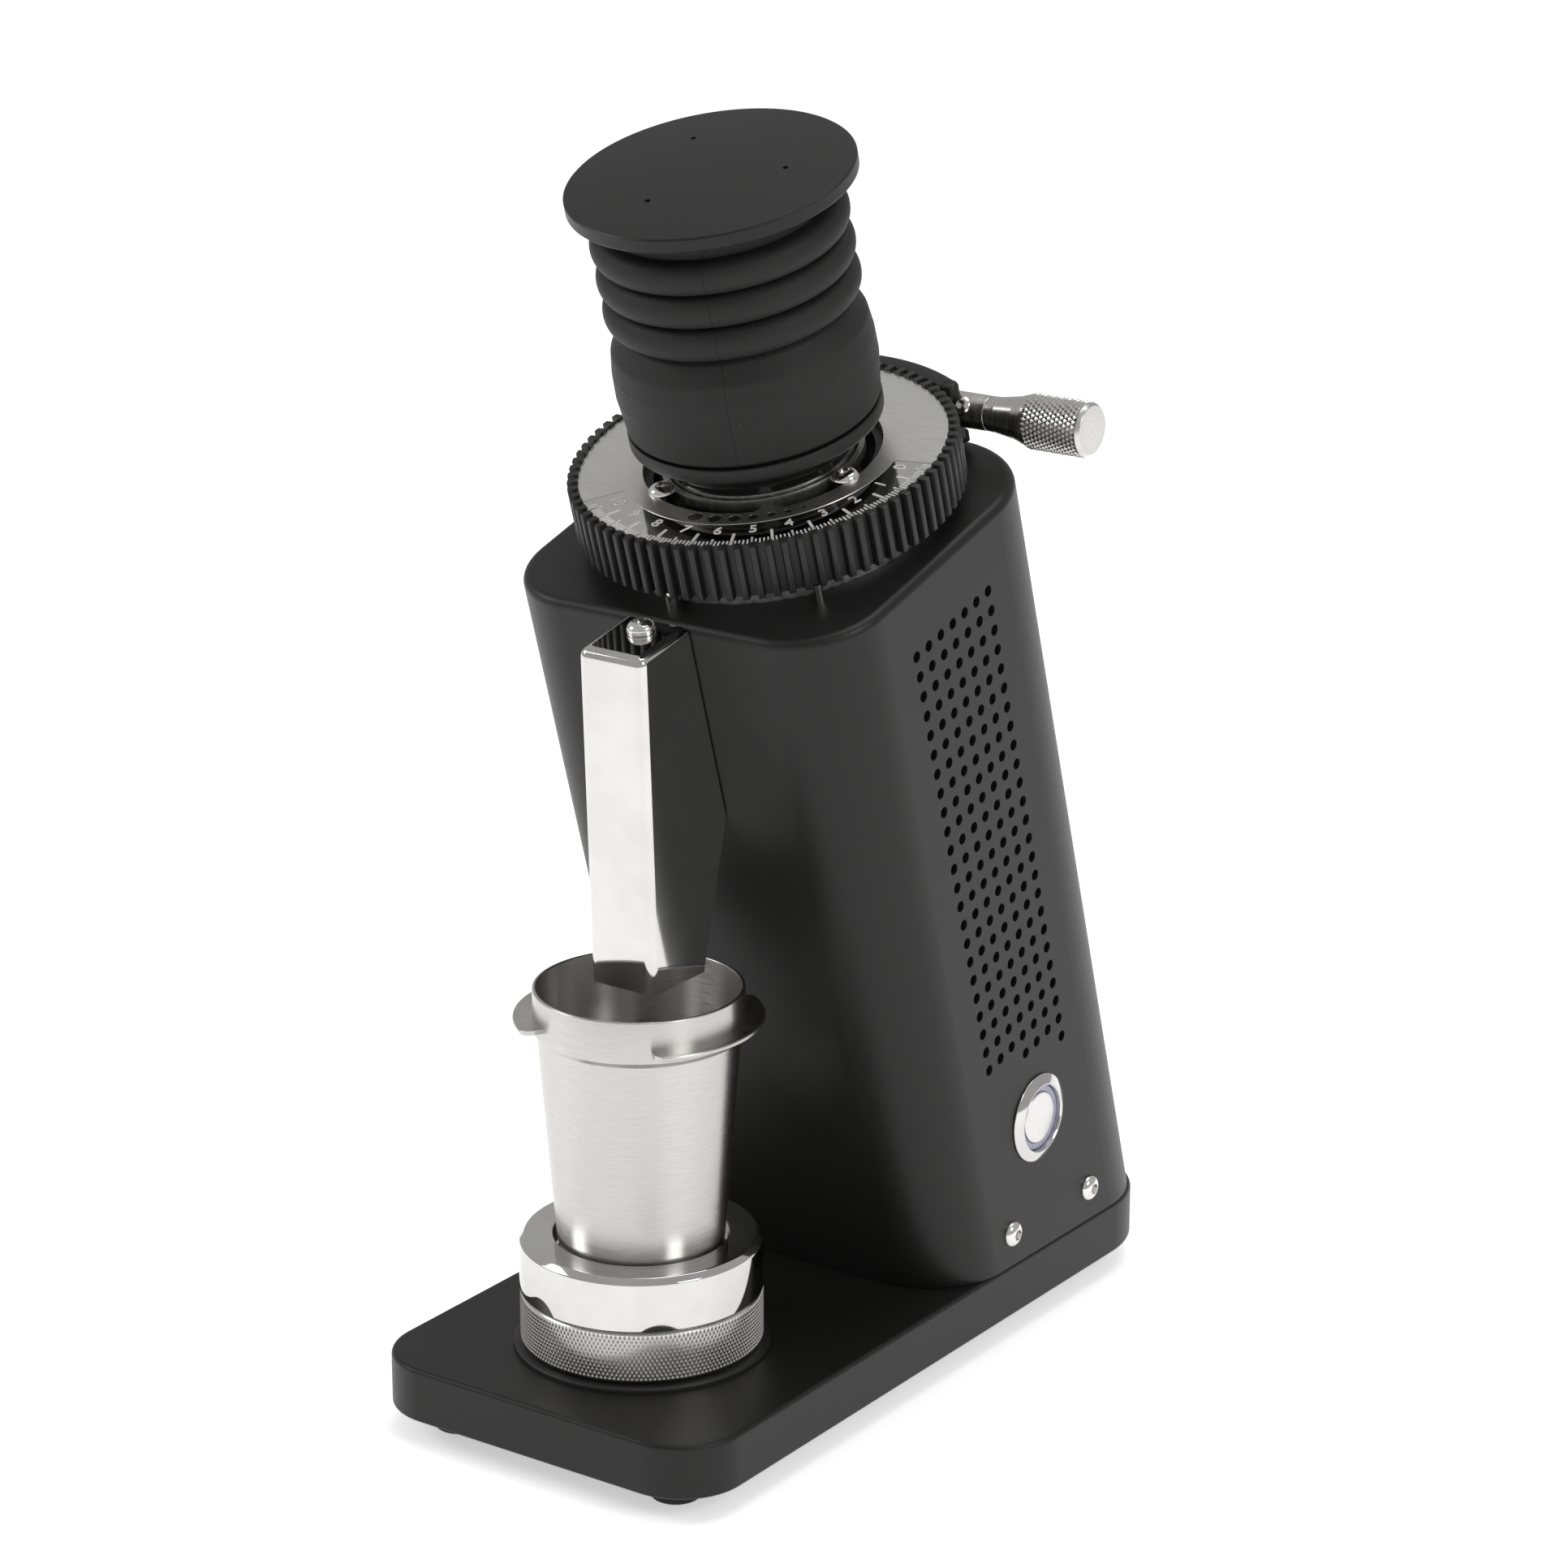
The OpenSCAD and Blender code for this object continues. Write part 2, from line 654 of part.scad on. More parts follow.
module motor_can() {
  color([0.35, 0.35, 0.37]) lean() difference() {
    translate([0, 0, motor_low + end_cap_height]) cylinder(r = motor_radius, h = motor_length - end_cap_height);
    translate([0, 0, motor_low + 7]) cylinder(r = motor_radius - bell_wall, h = motor_length - 12);
    translate([0, 0, motor_top - bearing_length]) cylinder(r = bearing_radius, h = bearing_length + 3);
    motor_screw_places() translate([0, 0, motor_top - 8]) cylinder(r = m4, h = 10);
  }
}

module motor_end_cap() {
  color([0.5, 0.5, 0.52]) lean() difference() {
    union() {
      translate([0, 0, motor_low]) cylinder(r = motor_radius, h = end_cap_height);
      translate([0, 0, motor_low + 6]) cylinder(r = motor_radius - bell_wall - screw_gap, h = 6);
    }
    translate([0, 0, motor_low + 3]) cylinder(r = bearing_radius, h = 20);
    translate([0, 0, motor_low + 9]) cylinder(r = motor_radius - 6, h = 20);
  }
}

module motor_stator() {
  outer = motor_radius - bell_wall - screw_gap;
  color([0.55, 0.35, 0.2]) lean() translate([0, 0, motor_low + stator_inset])
    tube(outer, outer - stator_depth, motor_length - 34);
}

module motor_screws() {
  color(steel) lean() motor_screw_places() translate([0, 0, cavity_low - 2.6])
    button_screw(m4 - screw_gap, 9, m4_head, m4_head_height);
}

module spindle_bearings() {
  color(steel) lean() {
    translate([0, 0, motor_low + 3]) tube(bearing_radius, shaft_radius + running_gap, bearing_length);
    translate([0, 0, motor_top - bearing_length])
      tube(bearing_radius, shaft_radius + running_gap, bearing_length);
  }
}

module shaft_seal() {
  color([0.1, 0.1, 0.1]) lean() translate([0, 0, housing_low])
    tube(bearing_radius, shaft_radius + running_gap, 3.5);
}

module motor_shaft() {
  color(steel) lean() difference() {
    translate([0, 0, motor_low + 3.5]) cylinder(r = shaft_radius, h = lower_burr_low + 6 - motor_low - 3.5);
    translate([0, 0, lower_burr_low - 6]) cylinder(r = m3, h = 20);
  }
}

module motor_rotor() {
  color([0.4, 0.4, 0.42]) lean() translate([0, 0, motor_low + stator_inset])
    tube(motor_radius - bell_wall - stator_depth - 0.7, shaft_radius, motor_length - 34);
}

module burr_screw_places(low) {
  for (turn = [0, 120, 240]) rotate([0, 0, turn]) translate([24.5, 0, low]) children();
}

module burr() {
  difference() {
    cylinder(r = burr_radius, h = burr_thickness);
    translate([0, 0, -1]) cylinder(r = burr_hole, h = burr_thickness + 2);
    translate([0, 0, burr_thickness - 3])
      rotate_extrude() polygon([[0, 0], [burr_hole, 0], [burr_hole + 9, 3.01], [0, 3.01]]);
    for (turn = [0 : 30 : 330]) rotate([0, 0, turn]) translate([burr_hole + 8, 0, burr_thickness - 0.8])
      rotate([0, 0, 35]) cube([16, 1.6, 2]);
    burr_screw_places(-1) cylinder(r = m3 + screw_gap, h = burr_thickness + 2);
    burr_screw_places(burr_thickness - 3) cylinder(r = 3.2, h = 4);
  }
}

module lower_burr() {
  color([0.7, 0.66, 0.55]) lean() translate([0, 0, lower_burr_low]) burr();
}

module upper_burr() {
  color([0.7, 0.66, 0.55]) lean() translate([0, 0, carrier_low]) mirror([0, 0, 1]) burr();
}

module burr_screw() {
  difference() {
    union() {
      translate([0, 0, burr_thickness - 3]) cylinder(r = 2.9, h = 1.8);
      translate([0, 0, -4]) cylinder(r = m3 - screw_gap, h = burr_thickness + 2);
    }
    translate([0, 0, burr_thickness - 2.2]) cylinder(r = 1.2, h = 2, $fn = 6);
  }
}

module lower_burr_screws() {
  color(steel) lean() burr_screw_places(lower_burr_low) burr_screw();
}

module upper_burr_screws() {
  color(steel) lean() mirror([0, 0, 1]) burr_screw_places(-carrier_low) burr_screw();
}

module lower_carrier() {
  color([0.62, 0.62, 0.64]) lean() difference() {
    union() {
      translate([0, 0, cavity_low + 5]) cylinder(r = burr_radius + 1, h = 7);
      translate([0, 0, cavity_low + 2]) cylinder(r = 12, h = 4);
      for (turn = [20 : 120 : 260]) rotate([0, 0, turn]) translate([20, -2, cavity_low + 1])
        cube([chamber_bore - 20.6, 4, 9]);
    }
    translate([0, 0, cavity_low]) cylinder(r = shaft_radius, h = 20);
    burr_screw_places(cavity_low) cylinder(r = m3, h = 20);
  }
}

module bean_auger() {
  color(steel) lean() difference() {
    union() {
      translate([0, 0, lower_burr_low]) cylinder(r = 9, h = 6);
      translate([0, 0, lower_burr_low + 6]) cylinder(r1 = 9, r2 = 5, h = 12);
      for (step = [0 : 11]) rotate([0, 0, step * 30]) translate([3, -1.5, lower_burr_low + 1 + step * 1.1])
        cube([burr_hole - 5 - step * 0.45, 3, 2.2]);
    }
    translate([0, 0, lower_burr_low - 1]) cylinder(r = shaft_radius, h = 7);
    translate([0, 0, lower_burr_low - 1]) cylinder(r = m3 + screw_gap, h = 30);
  }
}

module upper_carrier() {
  color([0.62, 0.62, 0.64]) lean() difference() {
    union() {
      translate([0, 0, carrier_low]) cylinder(r = carrier_bore - running_gap, h = carrier_flange);
      translate([0, 0, carrier_low]) cylinder(r = thread_radius, h = neck_low - carrier_low);
    }
    translate([0, 0, carrier_low - 1]) cylinder(r = throat_radius, h = neck_low - carrier_low + 2);
    for (turn = [30, 150, 270]) rotate([0, 0, turn]) translate([carrier_bore, 0, carrier_low - 1])
      cylinder(r = 1.4 + running_gap, h = carrier_flange + 2);
    burr_screw_places(carrier_low - 1) cylinder(r = m3, h = 6);
  }
}

module rib_outline() {
  step = 360 / rib_count;
  polygon([for (i = [0 : rib_count - 1], corner = [[0, 0], [0, 1], [0.46, 1], [0.46, 0]])
    (ring_root + corner[1] * rib_depth) * [cos((i + corner[0]) * step), sin((i + corner[0]) * step)]]);
}

module adjusting_ring() {
  color([0.07, 0.07, 0.07]) lean() difference() {
    union() {
      translate([0, 0, ring_low]) cylinder(r = ring_root, h = ring_height);
      translate([0, 0, ring_low]) linear_extrude(ring_height) rib_outline();
    }
    translate([0, 0, ring_low - 1]) cylinder(r = collar_radius + running_gap, h = web_low - ring_low + 1);
    translate([0, 0, web_low - 1]) cylinder(r = thread_radius + running_gap, h = ring_height);
    translate([0, 0, disc_low]) cylinder(r = ring_root - 0.25, h = ring_height);
    dial_screw_places() translate([0, 0, web_low - 1]) cylinder(r = m4, h = web_thickness + 2);
    arm_screw_places() translate([0, 0, ring_low - 1]) cylinder(r = m3, h = 8);
    for (step = [0 : detent_count - 1]) rotate([0, 0, 6.1 - step * detent_step])
      translate([detent_circle, 0, ring_low - 1]) cylinder(r = 1.6, h = 1.8, $fn = 24);
  }
}

module dial_screw_places() {
  for (turn = dial_screw_angles) rotate([0, 0, turn]) translate([dial_screw_circle, 0, 0]) children();
}

module arm_screw_places() {
  for (turn = [100, 118]) rotate([0, 0, turn]) translate([stop_circle - 0.8, 0, 0]) children();
}

disc_radius = ring_root - 0.3;
module dial_disc() {
  color(steel) lean() difference() {
    translate([0, 0, disc_low]) cylinder(r = disc_radius, h = disc_thickness);
    translate([0, 0, disc_low - 1]) cylinder(r = thread_radius + 0.8, h = disc_thickness + 2);
    for (turn = [0, 120, 240]) rotate([0, 0, slot_turn + turn - slot_sweep / 2])
      translate([0, 0, disc_low - 1]) rotate_extrude(angle = slot_sweep)
        translate([dial_screw_circle - slot_width / 2, 0]) square([slot_width, disc_thickness + 2]);
    rotate([0, 0, -131]) translate([0, 0, disc_top - scale_depth]) rotate_extrude(angle = 141.4)
      translate([38.2, 0]) square([disc_radius - 38.2 + 1, 2]);
    for (i = [0 : 6]) rotate([0, 0, -86.2 + 9.7 * i - 0.28 * i * i])
      translate([35.1, 0, disc_top - scale_depth]) cylinder(r = 2 - 0.22 * i, h = 2, $fn = 32);
  }
}

module dial_screws() {
  color(steel) lean() dial_screw_places() translate([0, 0, disc_top])
    button_screw(m4 - screw_gap, disc_thickness + web_thickness - 1, m4_head, m4_head_height);
}

arm_inner = ring_radius + 1;
arm_low = ring_top - 1.5 - arm_height;
arm_plate_low = body_top + 1.5;
plate_inner = stop_circle - 4;
handle_v = arm_inner - 2.8;
handle_w = arm_low + 3.5;
socket_start = 26.5;
socket_end = socket_start + 12.5;
stud_radius = 2.5;
spigot_fit = 3;
module lever_arm() {
  band = arm_low + arm_height - arm_plate_low;
  plate = ring_low - arm_plate_low - 0.3;
  color(black) lean() difference() {
    rotate([0, 0, arm_start]) translate([0, 0, arm_plate_low]) rotate_extrude(angle = arm_end - arm_start)
      polygon([[plate_inner, 0], [arm_radius, 0], [arm_radius, band], [arm_inner, band],
               [arm_inner, plate], [plate_inner, plate]]);
    translate([socket_start, handle_v, handle_w]) rotate([0, 90, 0])
      cylinder(r = handle_neck_radius + 0.1, h = 20);
    translate([socket_start - 2.5, handle_v, handle_w]) rotate([0, 90, 0]) cylinder(r = stud_radius, h = 10);
    arm_screw_places() translate([0, 0, arm_plate_low - 1]) cylinder(r = m3 + screw_gap, h = 8);
    arm_screw_places() translate([0, 0, arm_plate_low - 1]) cylinder(r = 3, h = 2.8);
    at_socket() at_grub_screw() translate([0, 0, grub_seat]) cylinder(r = grub_head + 0.3, h = 10);
  }
}

module lever_arm_screws() {
  color(steel) lean() arm_screw_places() {
    translate([0, 0, arm_plate_low + 0.2]) cylinder(r = 2.8, h = 1.6);
    translate([0, 0, arm_plate_low + 0.5]) cylinder(r = m3 - screw_gap, h = 8);
  }
}

module at_socket() {
  translate([0, handle_v, handle_w]) rotate([0, 90, 0]) children();
}

module at_handle() {
  lean() at_socket() children();
}

grub_head = 2.4;
grub_seat = handle_neck_radius - 0.5;
module at_grub_screw() {
  translate([0, 0, socket_start + 5.4]) rotate([0, 0, 225]) rotate([0, 90, 0]) children();
}

module lever_socket() {
  color(steel) at_handle() difference() {
    union() {
      translate([0, 0, socket_start]) cylinder(r = handle_neck_radius, h = socket_end - socket_start);
      translate([0, 0, socket_start - 2.4]) cylinder(r = stud_radius, h = 4);
    }
    translate([0, 0, socket_end - 9]) cylinder(r = spigot_fit, h = 10);
    at_grub_screw() {
      cylinder(r = m3, h = 10);
      translate([0, 0, grub_seat]) cylinder(r = grub_head + screw_gap, h = 5);
    }
  }
}

grip_start = handle_reach - grip_length;
module lever_grip() {
  color(steel) at_handle() {
    rotate_extrude() polygon([
      [0, socket_end], [handle_neck_radius, socket_end], [handle_neck_radius + 0.4, grip_start - 6],
      [handle_neck_radius + 1.4, grip_start - 2.5], [grip_radius - 0.8, grip_start - 0.2],
      [grip_radius, grip_start + 0.8], [grip_radius, handle_reach - 0.8],
      [grip_radius - 0.8, handle_reach], [0, handle_reach]
    ]);
    translate([0, 0, socket_end - 8.8]) cylinder(r = spigot_fit, h = 10);
  }
}

module lever_grub_screw() {
  color(steel) at_handle() at_grub_screw() translate([0, 0, grub_seat])
    button_screw(m3 - screw_gap, grub_seat - spigot_fit - screw_gap, grub_head, 1.1);
}

module detent_plunger() {
  color(steel) lean() rotate([0, 0, -90]) translate([detent_circle, 0, body_top - 3]) {
    cylinder(r = 1.95, h = 3 + ring_gap - 1.9);
    translate([0, 0, 3 + ring_gap - 1.9]) sphere(r = 1.5);
  }
}

module stop_pins() {
  color(steel) lean() for (turn = [stop_low_angle, stop_high_angle]) rotate([0, 0, turn])
    translate([stop_circle, 0, body_top - 3]) cylinder(r = 1.2, h = 3 + ring_gap - 0.5);
}

module hopper_neck() {
  neck = flange_low - neck_low;
  color([0.05, 0.05, 0.05]) lean() translate([0, 0, neck_low]) rotate_extrude() polygon([
    [throat_radius, 0], [thread_radius + 0.7, 0], [thread_radius + 0.9, neck - 3],
    [thread_radius + 3, neck - 0.8], [thread_radius + 5.5, neck], [throat_radius, neck]
  ]);
}

module hopper_flange() {
  color(black) lean() difference() {
    union() {
      translate([0, 0, flange_low]) rotate_extrude() polygon([
        [0, 0], [flange_radius - 1.6, 0], [flange_radius, 1.6], [flange_radius, flange_height - 0.6],
        [flange_radius - 0.6, flange_height], [0, flange_height]
      ]);
      translate([0, 0, flange_low + 1]) cylinder(r = spigot_radius, h = flange_height + 15);
    }
    translate([0, 0, flange_low - 1]) cylinder(r = throat_radius, h = flange_height + 10);
    translate([0, 0, flange_low + 3])
      rotate_extrude() polygon([[0, 0], [throat_radius, 0], [spigot_radius - 2, 12], [spigot_radius - 2, 20], [0, 20]]);
  }
}

// the cuff grips the spigot, and round convolutions rise above it
bellows_steps = 8;
cuff_top = 26;
wave_start = cuff_top + 4;
wave_depth = 3.6;
wave_count = bellows_count;
wave_end = wave_start + wave_count * bellows_pitch;
neck_radius = bellows_radius - wave_depth;
function wave_radius(h) =
  neck_radius + wave_depth * sqrt(1 - pow(2 * (h - wave_start) / bellows_pitch % 2 - 1, 2));

module bellows() {
  step = bellows_pitch / bellows_steps;
  wave = [for (i = [1 : bellows_steps * wave_count - 1]) wave_start + i * step];
  outer = concat(
    [[flange_radius - 0.2, 0], [flange_radius + 1.1, 9.5], [flange_radius + 0.7, 14.5],
     [flange_radius + 0.2, cuff_top - 2], [bellows_radius - 0.4, cuff_top], [neck_radius, wave_start]],
    [for (h = wave) [wave_radius(h), h]],
    [[neck_radius, wave_end], [neck_radius, bellows_length]]);
  inner = concat(
    [[neck_radius - bellows_wall, bellows_length], [neck_radius - bellows_wall, wave_end]],
    [for (i = [len(wave) - 1 : -1 : 0]) [wave_radius(wave[i]) - bellows_wall, wave[i]]],
    [[neck_radius - bellows_wall, wave_start], [spigot_radius + free_gap, 18], [spigot_radius + free_gap, 0]]);
  color([0.06, 0.06, 0.06]) lean() translate([0, 0, bellows_low]) rotate_extrude() polygon(concat(outer, inner));
}

module bellows_lid() {
  plug_radius = neck_radius - bellows_wall - free_gap;
  color(black) lean() difference() {
    union() {
      translate([0, 0, lid_low]) rotate_extrude() polygon(concat(
        [[0, 0], [lid_radius, 0]],
        [for (i = [8 : -1 : 0]) [lid_radius * i / 8, lid_thickness + lid_dome * (1 - pow(i / 8, 2))]]));
      translate([0, 0, lid_low - 5]) cylinder(r = plug_radius, h = 6);
    }
    for (turn = [16, 136, 256]) rotate([0, 0, turn]) translate([21, 0, lid_low - 6])
      cylinder(r = 0.8, h = 15, $fn = 24);
    translate([0, 0, lid_low - 6]) cylinder(r = plug_radius - 3, h = 6);
  }
}

module control_board() {
  color([0.1, 0.35, 0.2]) lean() difference() {
    union() {
      translate([-board_half, board_v, board_w]) cube([2 * board_half, 1.6, board_height]);
      translate([-18, board_v - 6, board_w + 8]) cube([14, 6.5, 20]);
      translate([2, board_v - 5, board_w + 40]) cube([18, 5.5, 12]);
      translate([14, board_v + 0.5, board_w + 16]) rotate([90, 0, 0]) cylinder(r = 5, h = 6.5);
    }
    board_spacer_places() cylinder(r = m3 + screw_gap, h = 40);
  }
}

module board_spacer_places() {
  for (side = [-1, 1], w = [board_w + 4, board_w + board_height - 4])
    translate([side * (board_half - 8), board_v + 20, w]) rotate([90, 0, 0]) children();
}

module board_spacers() {
  color([0.75, 0.6, 0.3]) lean() board_spacer_places() difference() {
    translate([0, 0, 20 - (body_rear - body_wall - board_v)])
      cylinder(r = 3, h = body_rear - body_wall - board_v - 1.6);
    cylinder(r = 1.2, h = 40);
  }
}

module power_inlet() {
  color([0.06, 0.06, 0.06]) lean() difference() {
    union() {
      translate([-inlet_half, body_rear, inlet_w - inlet_half_height])
        cube([2 * inlet_half, 2.4, 2 * inlet_half_height]);
      translate([-13.7, body_rear - 22, inlet_w - 9.7]) cube([27.4, 23, 19.4]);
    }
    translate([-11.8, body_rear - 17, inlet_w - 7.8]) cube([23.6, 21, 15.6]);
    for (side = [-1, 1]) translate([side * 20, body_rear + 4, inlet_w]) rotate([90, 0, 0])
      cylinder(r = m3 + screw_gap, h = 6);
  }
  color(steel) lean() for (pin = [[-7, -2], [0, 2], [7, -2]])
    translate([pin[0] - 1, body_rear - 17.5, inlet_w + pin[1] - 2]) cube([2, 13.5, 4]);
}

module inlet_screws() {
  color(steel) lean() for (side = [-1, 1]) translate([side * 20, body_rear + 2.4, inlet_w]) rotate([-90, 0, 0])
    button_screw(m3 - screw_gap, 8, 2.8, 1.7);
}

// a square-cornered run of insulated wire
module wire(points, radius) {
  for (i = [0 : len(points) - 2]) {
    span = points[i + 1] - points[i];
    reach = norm(span);
    translate(points[i]) rotate([0, acos(span[2] / reach), atan2(span[1], span[0])])
      translate([0, 0, -radius]) cylinder(r = radius, h = reach + 2 * radius, $fn = 8);
  }
}

module wiring() {
  color([0.6, 0.1, 0.1]) lean() {
    wire([[-6, body_rear - 24.4, inlet_w], [-6, 24, 58], [-10, 34, 68], [-10, board_v - 2.6, 78]], 1.2);
    wire([[26, -1, button_w], [22, 14, 74], [20, 34, 80], [20, board_v - 2.6, 84]], 1.2);
    wire([[10, board_v - 2.6, 100], [10, 38.6, 92], [8, 30, 86], [4, 20, motor_low - 2.6]], 1.2);
  }
}

module at_button() {
  lean() translate([half_width, button_v, button_w]) rotate([0, 90, 0]) children();
}

bezel_bore = 9.7;
cap_radius = 7.5;
cap_back = 6.4;
spring_seat = 16.5;
module button_bezel() {
  color([0.85, 0.85, 0.87]) at_button() difference() {
    union() {
      rotate_extrude() polygon([[0, 0], [bezel_radius, 0], [bezel_radius, 0.7], [bezel_radius - 1.6, 2],
                                [0, 2]]);
      translate([0, 0, -20]) cylinder(r = 10.9, h = 21);
    }
    translate([0, 0, -6]) cylinder(r = bezel_bore, h = 9);
    translate([0, 0, -17]) cylinder(r = 6, h = 12);
  }
}

module button_light_ring() {
  color([0.8, 0.8, 0.95]) at_button() translate([0, 0, -5.5]) tube(bezel_bore, cap_radius + 2 * running_gap, 6);
}

module button_nut() {
  color(steel) at_button() translate([0, 0, -body_wall - 4]) difference() {
    cylinder(r = 13.5, h = 4, $fn = 6);
    translate([0, 0, -1]) cylinder(r = 10.95, h = 6);
  }
}

module button_spring() {
  // drawn at its pressed length
  color(steel) at_button() translate([0, 0, -spring_seat])
    tube(4.5, 3.3, spring_seat - cap_back - button_travel - 0.2);
}

module button_cap() {
  color([0.85, 0.85, 0.85]) at_button() {
    translate([0, 0, -2]) cylinder(r = cap_radius, h = 2.9);
    translate([0, 0, -cap_back]) cylinder(r = 5.5, h = cap_back - 1.4);
    translate([0, 0, -12]) cylinder(r = 2.8, h = 8);
  }
}

base_plate();
rubber_feet();
foot_screws();
stand_pad();
stand_post();
body_shell();
shell_brackets();
shell_screws();
bracket_screws();
chamber_housing();
chamber_screws();
grounds_outlet();
declumper_flap();
chute();
chute_hanger();
chute_washer();
chute_screw();
motor_can();
motor_end_cap();
motor_stator();
motor_screws();
spindle_bearings();
shaft_seal();
carrier_keys();
control_board();
board_spacers();
power_inlet();
inlet_screws();
wiring();
button_bezel();
button_light_ring();
button_nut();
button_spring();
detent_plunger();
stop_pins();
adjusting_ring();
dial_disc();
dial_screws();
lever_arm();
lever_arm_screws();
lever_socket();
lever_grip();
lever_grub_screw();
upper_carrier();
upper_burr();
upper_burr_screws();
hopper_neck();
hopper_flange();
bellows();
bellows_lid();
motor_shaft();
motor_rotor();
lower_carrier();
lower_burr();
lower_burr_screws();
bean_auger();
button_cap();
knurled_ring();
cup_platform();
dosing_cup();
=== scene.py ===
# Single-dose burr coffee grinder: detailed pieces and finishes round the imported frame.
import json
import math
import bmesh
import bpy
import numpy as np
from mathutils import Matrix, Vector


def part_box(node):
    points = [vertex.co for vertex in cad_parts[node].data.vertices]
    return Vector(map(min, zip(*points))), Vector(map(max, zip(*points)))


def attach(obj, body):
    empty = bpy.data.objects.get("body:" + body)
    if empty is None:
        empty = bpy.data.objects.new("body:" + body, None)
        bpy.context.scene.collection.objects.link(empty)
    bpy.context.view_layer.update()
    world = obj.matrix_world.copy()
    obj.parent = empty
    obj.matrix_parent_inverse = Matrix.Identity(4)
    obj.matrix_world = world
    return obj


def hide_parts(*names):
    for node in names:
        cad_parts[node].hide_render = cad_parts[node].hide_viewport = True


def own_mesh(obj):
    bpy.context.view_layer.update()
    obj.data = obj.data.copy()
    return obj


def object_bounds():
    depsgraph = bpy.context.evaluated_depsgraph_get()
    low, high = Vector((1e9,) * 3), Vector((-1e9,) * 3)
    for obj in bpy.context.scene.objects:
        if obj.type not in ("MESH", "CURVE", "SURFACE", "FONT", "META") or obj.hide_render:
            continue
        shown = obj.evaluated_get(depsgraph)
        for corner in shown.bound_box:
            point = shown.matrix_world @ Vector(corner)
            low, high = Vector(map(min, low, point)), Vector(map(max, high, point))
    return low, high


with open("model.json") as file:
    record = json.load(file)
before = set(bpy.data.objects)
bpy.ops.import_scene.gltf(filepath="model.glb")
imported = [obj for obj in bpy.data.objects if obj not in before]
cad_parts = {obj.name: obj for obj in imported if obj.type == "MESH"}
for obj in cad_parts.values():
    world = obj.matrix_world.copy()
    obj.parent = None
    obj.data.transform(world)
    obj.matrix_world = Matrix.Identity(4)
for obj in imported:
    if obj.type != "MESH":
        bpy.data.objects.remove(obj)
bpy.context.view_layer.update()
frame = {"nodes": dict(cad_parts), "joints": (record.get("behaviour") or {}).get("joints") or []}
mm = 0.001
joints = {joint["name"]: joint for joint in frame["joints"]}


def axisPlace(origin, side, up):
    side, up = Vector(side).normalized(), Vector(up).normalized()
    place = Matrix((side, up.cross(side), up)).transposed().to_4x4()
    place.translation = Vector(origin)
    return place


# three local frames: along the leaning axis, square to the base, and round the cup stand
leanPlace = axisPlace(joints["dial_turn"]["pos_m"], (1, 0, 0), joints["dial_turn"]["axis"])
standPlace = Matrix.Translation(Vector(joints["stand_ring_turn"]["pos_m"]))
uprightPlace = Matrix.Translation((leanPlace.translation.x, 0, 0))


def spanOf(node, place):
    # lowest and highest corner of a node, measured in a local frame
    mesh = frame["nodes"][node].data
    spots = np.empty(len(mesh.vertices) * 3)
    mesh.vertices.foreach_get("co", spots)
    back = np.array(place.inverted())
    local = spots.reshape(-1, 3) @ back[:3, :3].T + back[:3, 3]
    return Vector(local.min(0)), Vector(local.max(0))


# ---- materials

def finishOf(name, **sockets):
    material = bpy.data.materials.new(name)
    material.use_nodes = True
    shader = material.node_tree.nodes["Principled BSDF"]
    for socket, value in sockets.items():
        shader.inputs[socket.replace("_", " ")].default_value = value
    return material


def addNode(material, kind, **values):
    node = material.node_tree.nodes.new(kind)
    for name, value in values.items():
        if hasattr(node, name):
            setattr(node, name, value)
        else:
            node.inputs[name.replace("_", " ")].default_value = value
    return node


def join(material, start, outSocket, end, inSocket):
    material.node_tree.links.new(start.outputs[outSocket], end.inputs[inSocket])


def localCoords(material, place, stretch=(1, 1, 1)):
    # object coordinates turned into a piece's own frame, then stretched
    coords = addNode(material, "ShaderNodeTexCoord")
    back = place.inverted()
    turn = addNode(material, "ShaderNodeMapping")
    turn.inputs["Location"].default_value = back.translation
    turn.inputs["Rotation"].default_value = back.to_euler()
    join(material, coords, "Object", turn, "Vector")
    scale = addNode(material, "ShaderNodeVectorMath", operation="MULTIPLY")
    scale.inputs[1].default_value = stretch
    join(material, turn, "Vector", scale, 0)
    return scale


def ringCoords(material, place):
    # height and distance from the axis only, for lathe marks
    local = localCoords(material, place)
    flat = addNode(material, "ShaderNodeVectorMath", operation="MULTIPLY")
    flat.inputs[1].default_value = (1, 1, 0)
    join(material, local, 0, flat, 0)
    reach = addNode(material, "ShaderNodeVectorMath", operation="LENGTH")
    join(material, flat, 0, reach, 0)
    parts = addNode(material, "ShaderNodeSeparateXYZ")
    join(material, local, 0, parts, 0)
    both = addNode(material, "ShaderNodeCombineXYZ")
    join(material, reach, "Value", both, "X")
    join(material, parts, "Z", both, "Z")
    return both


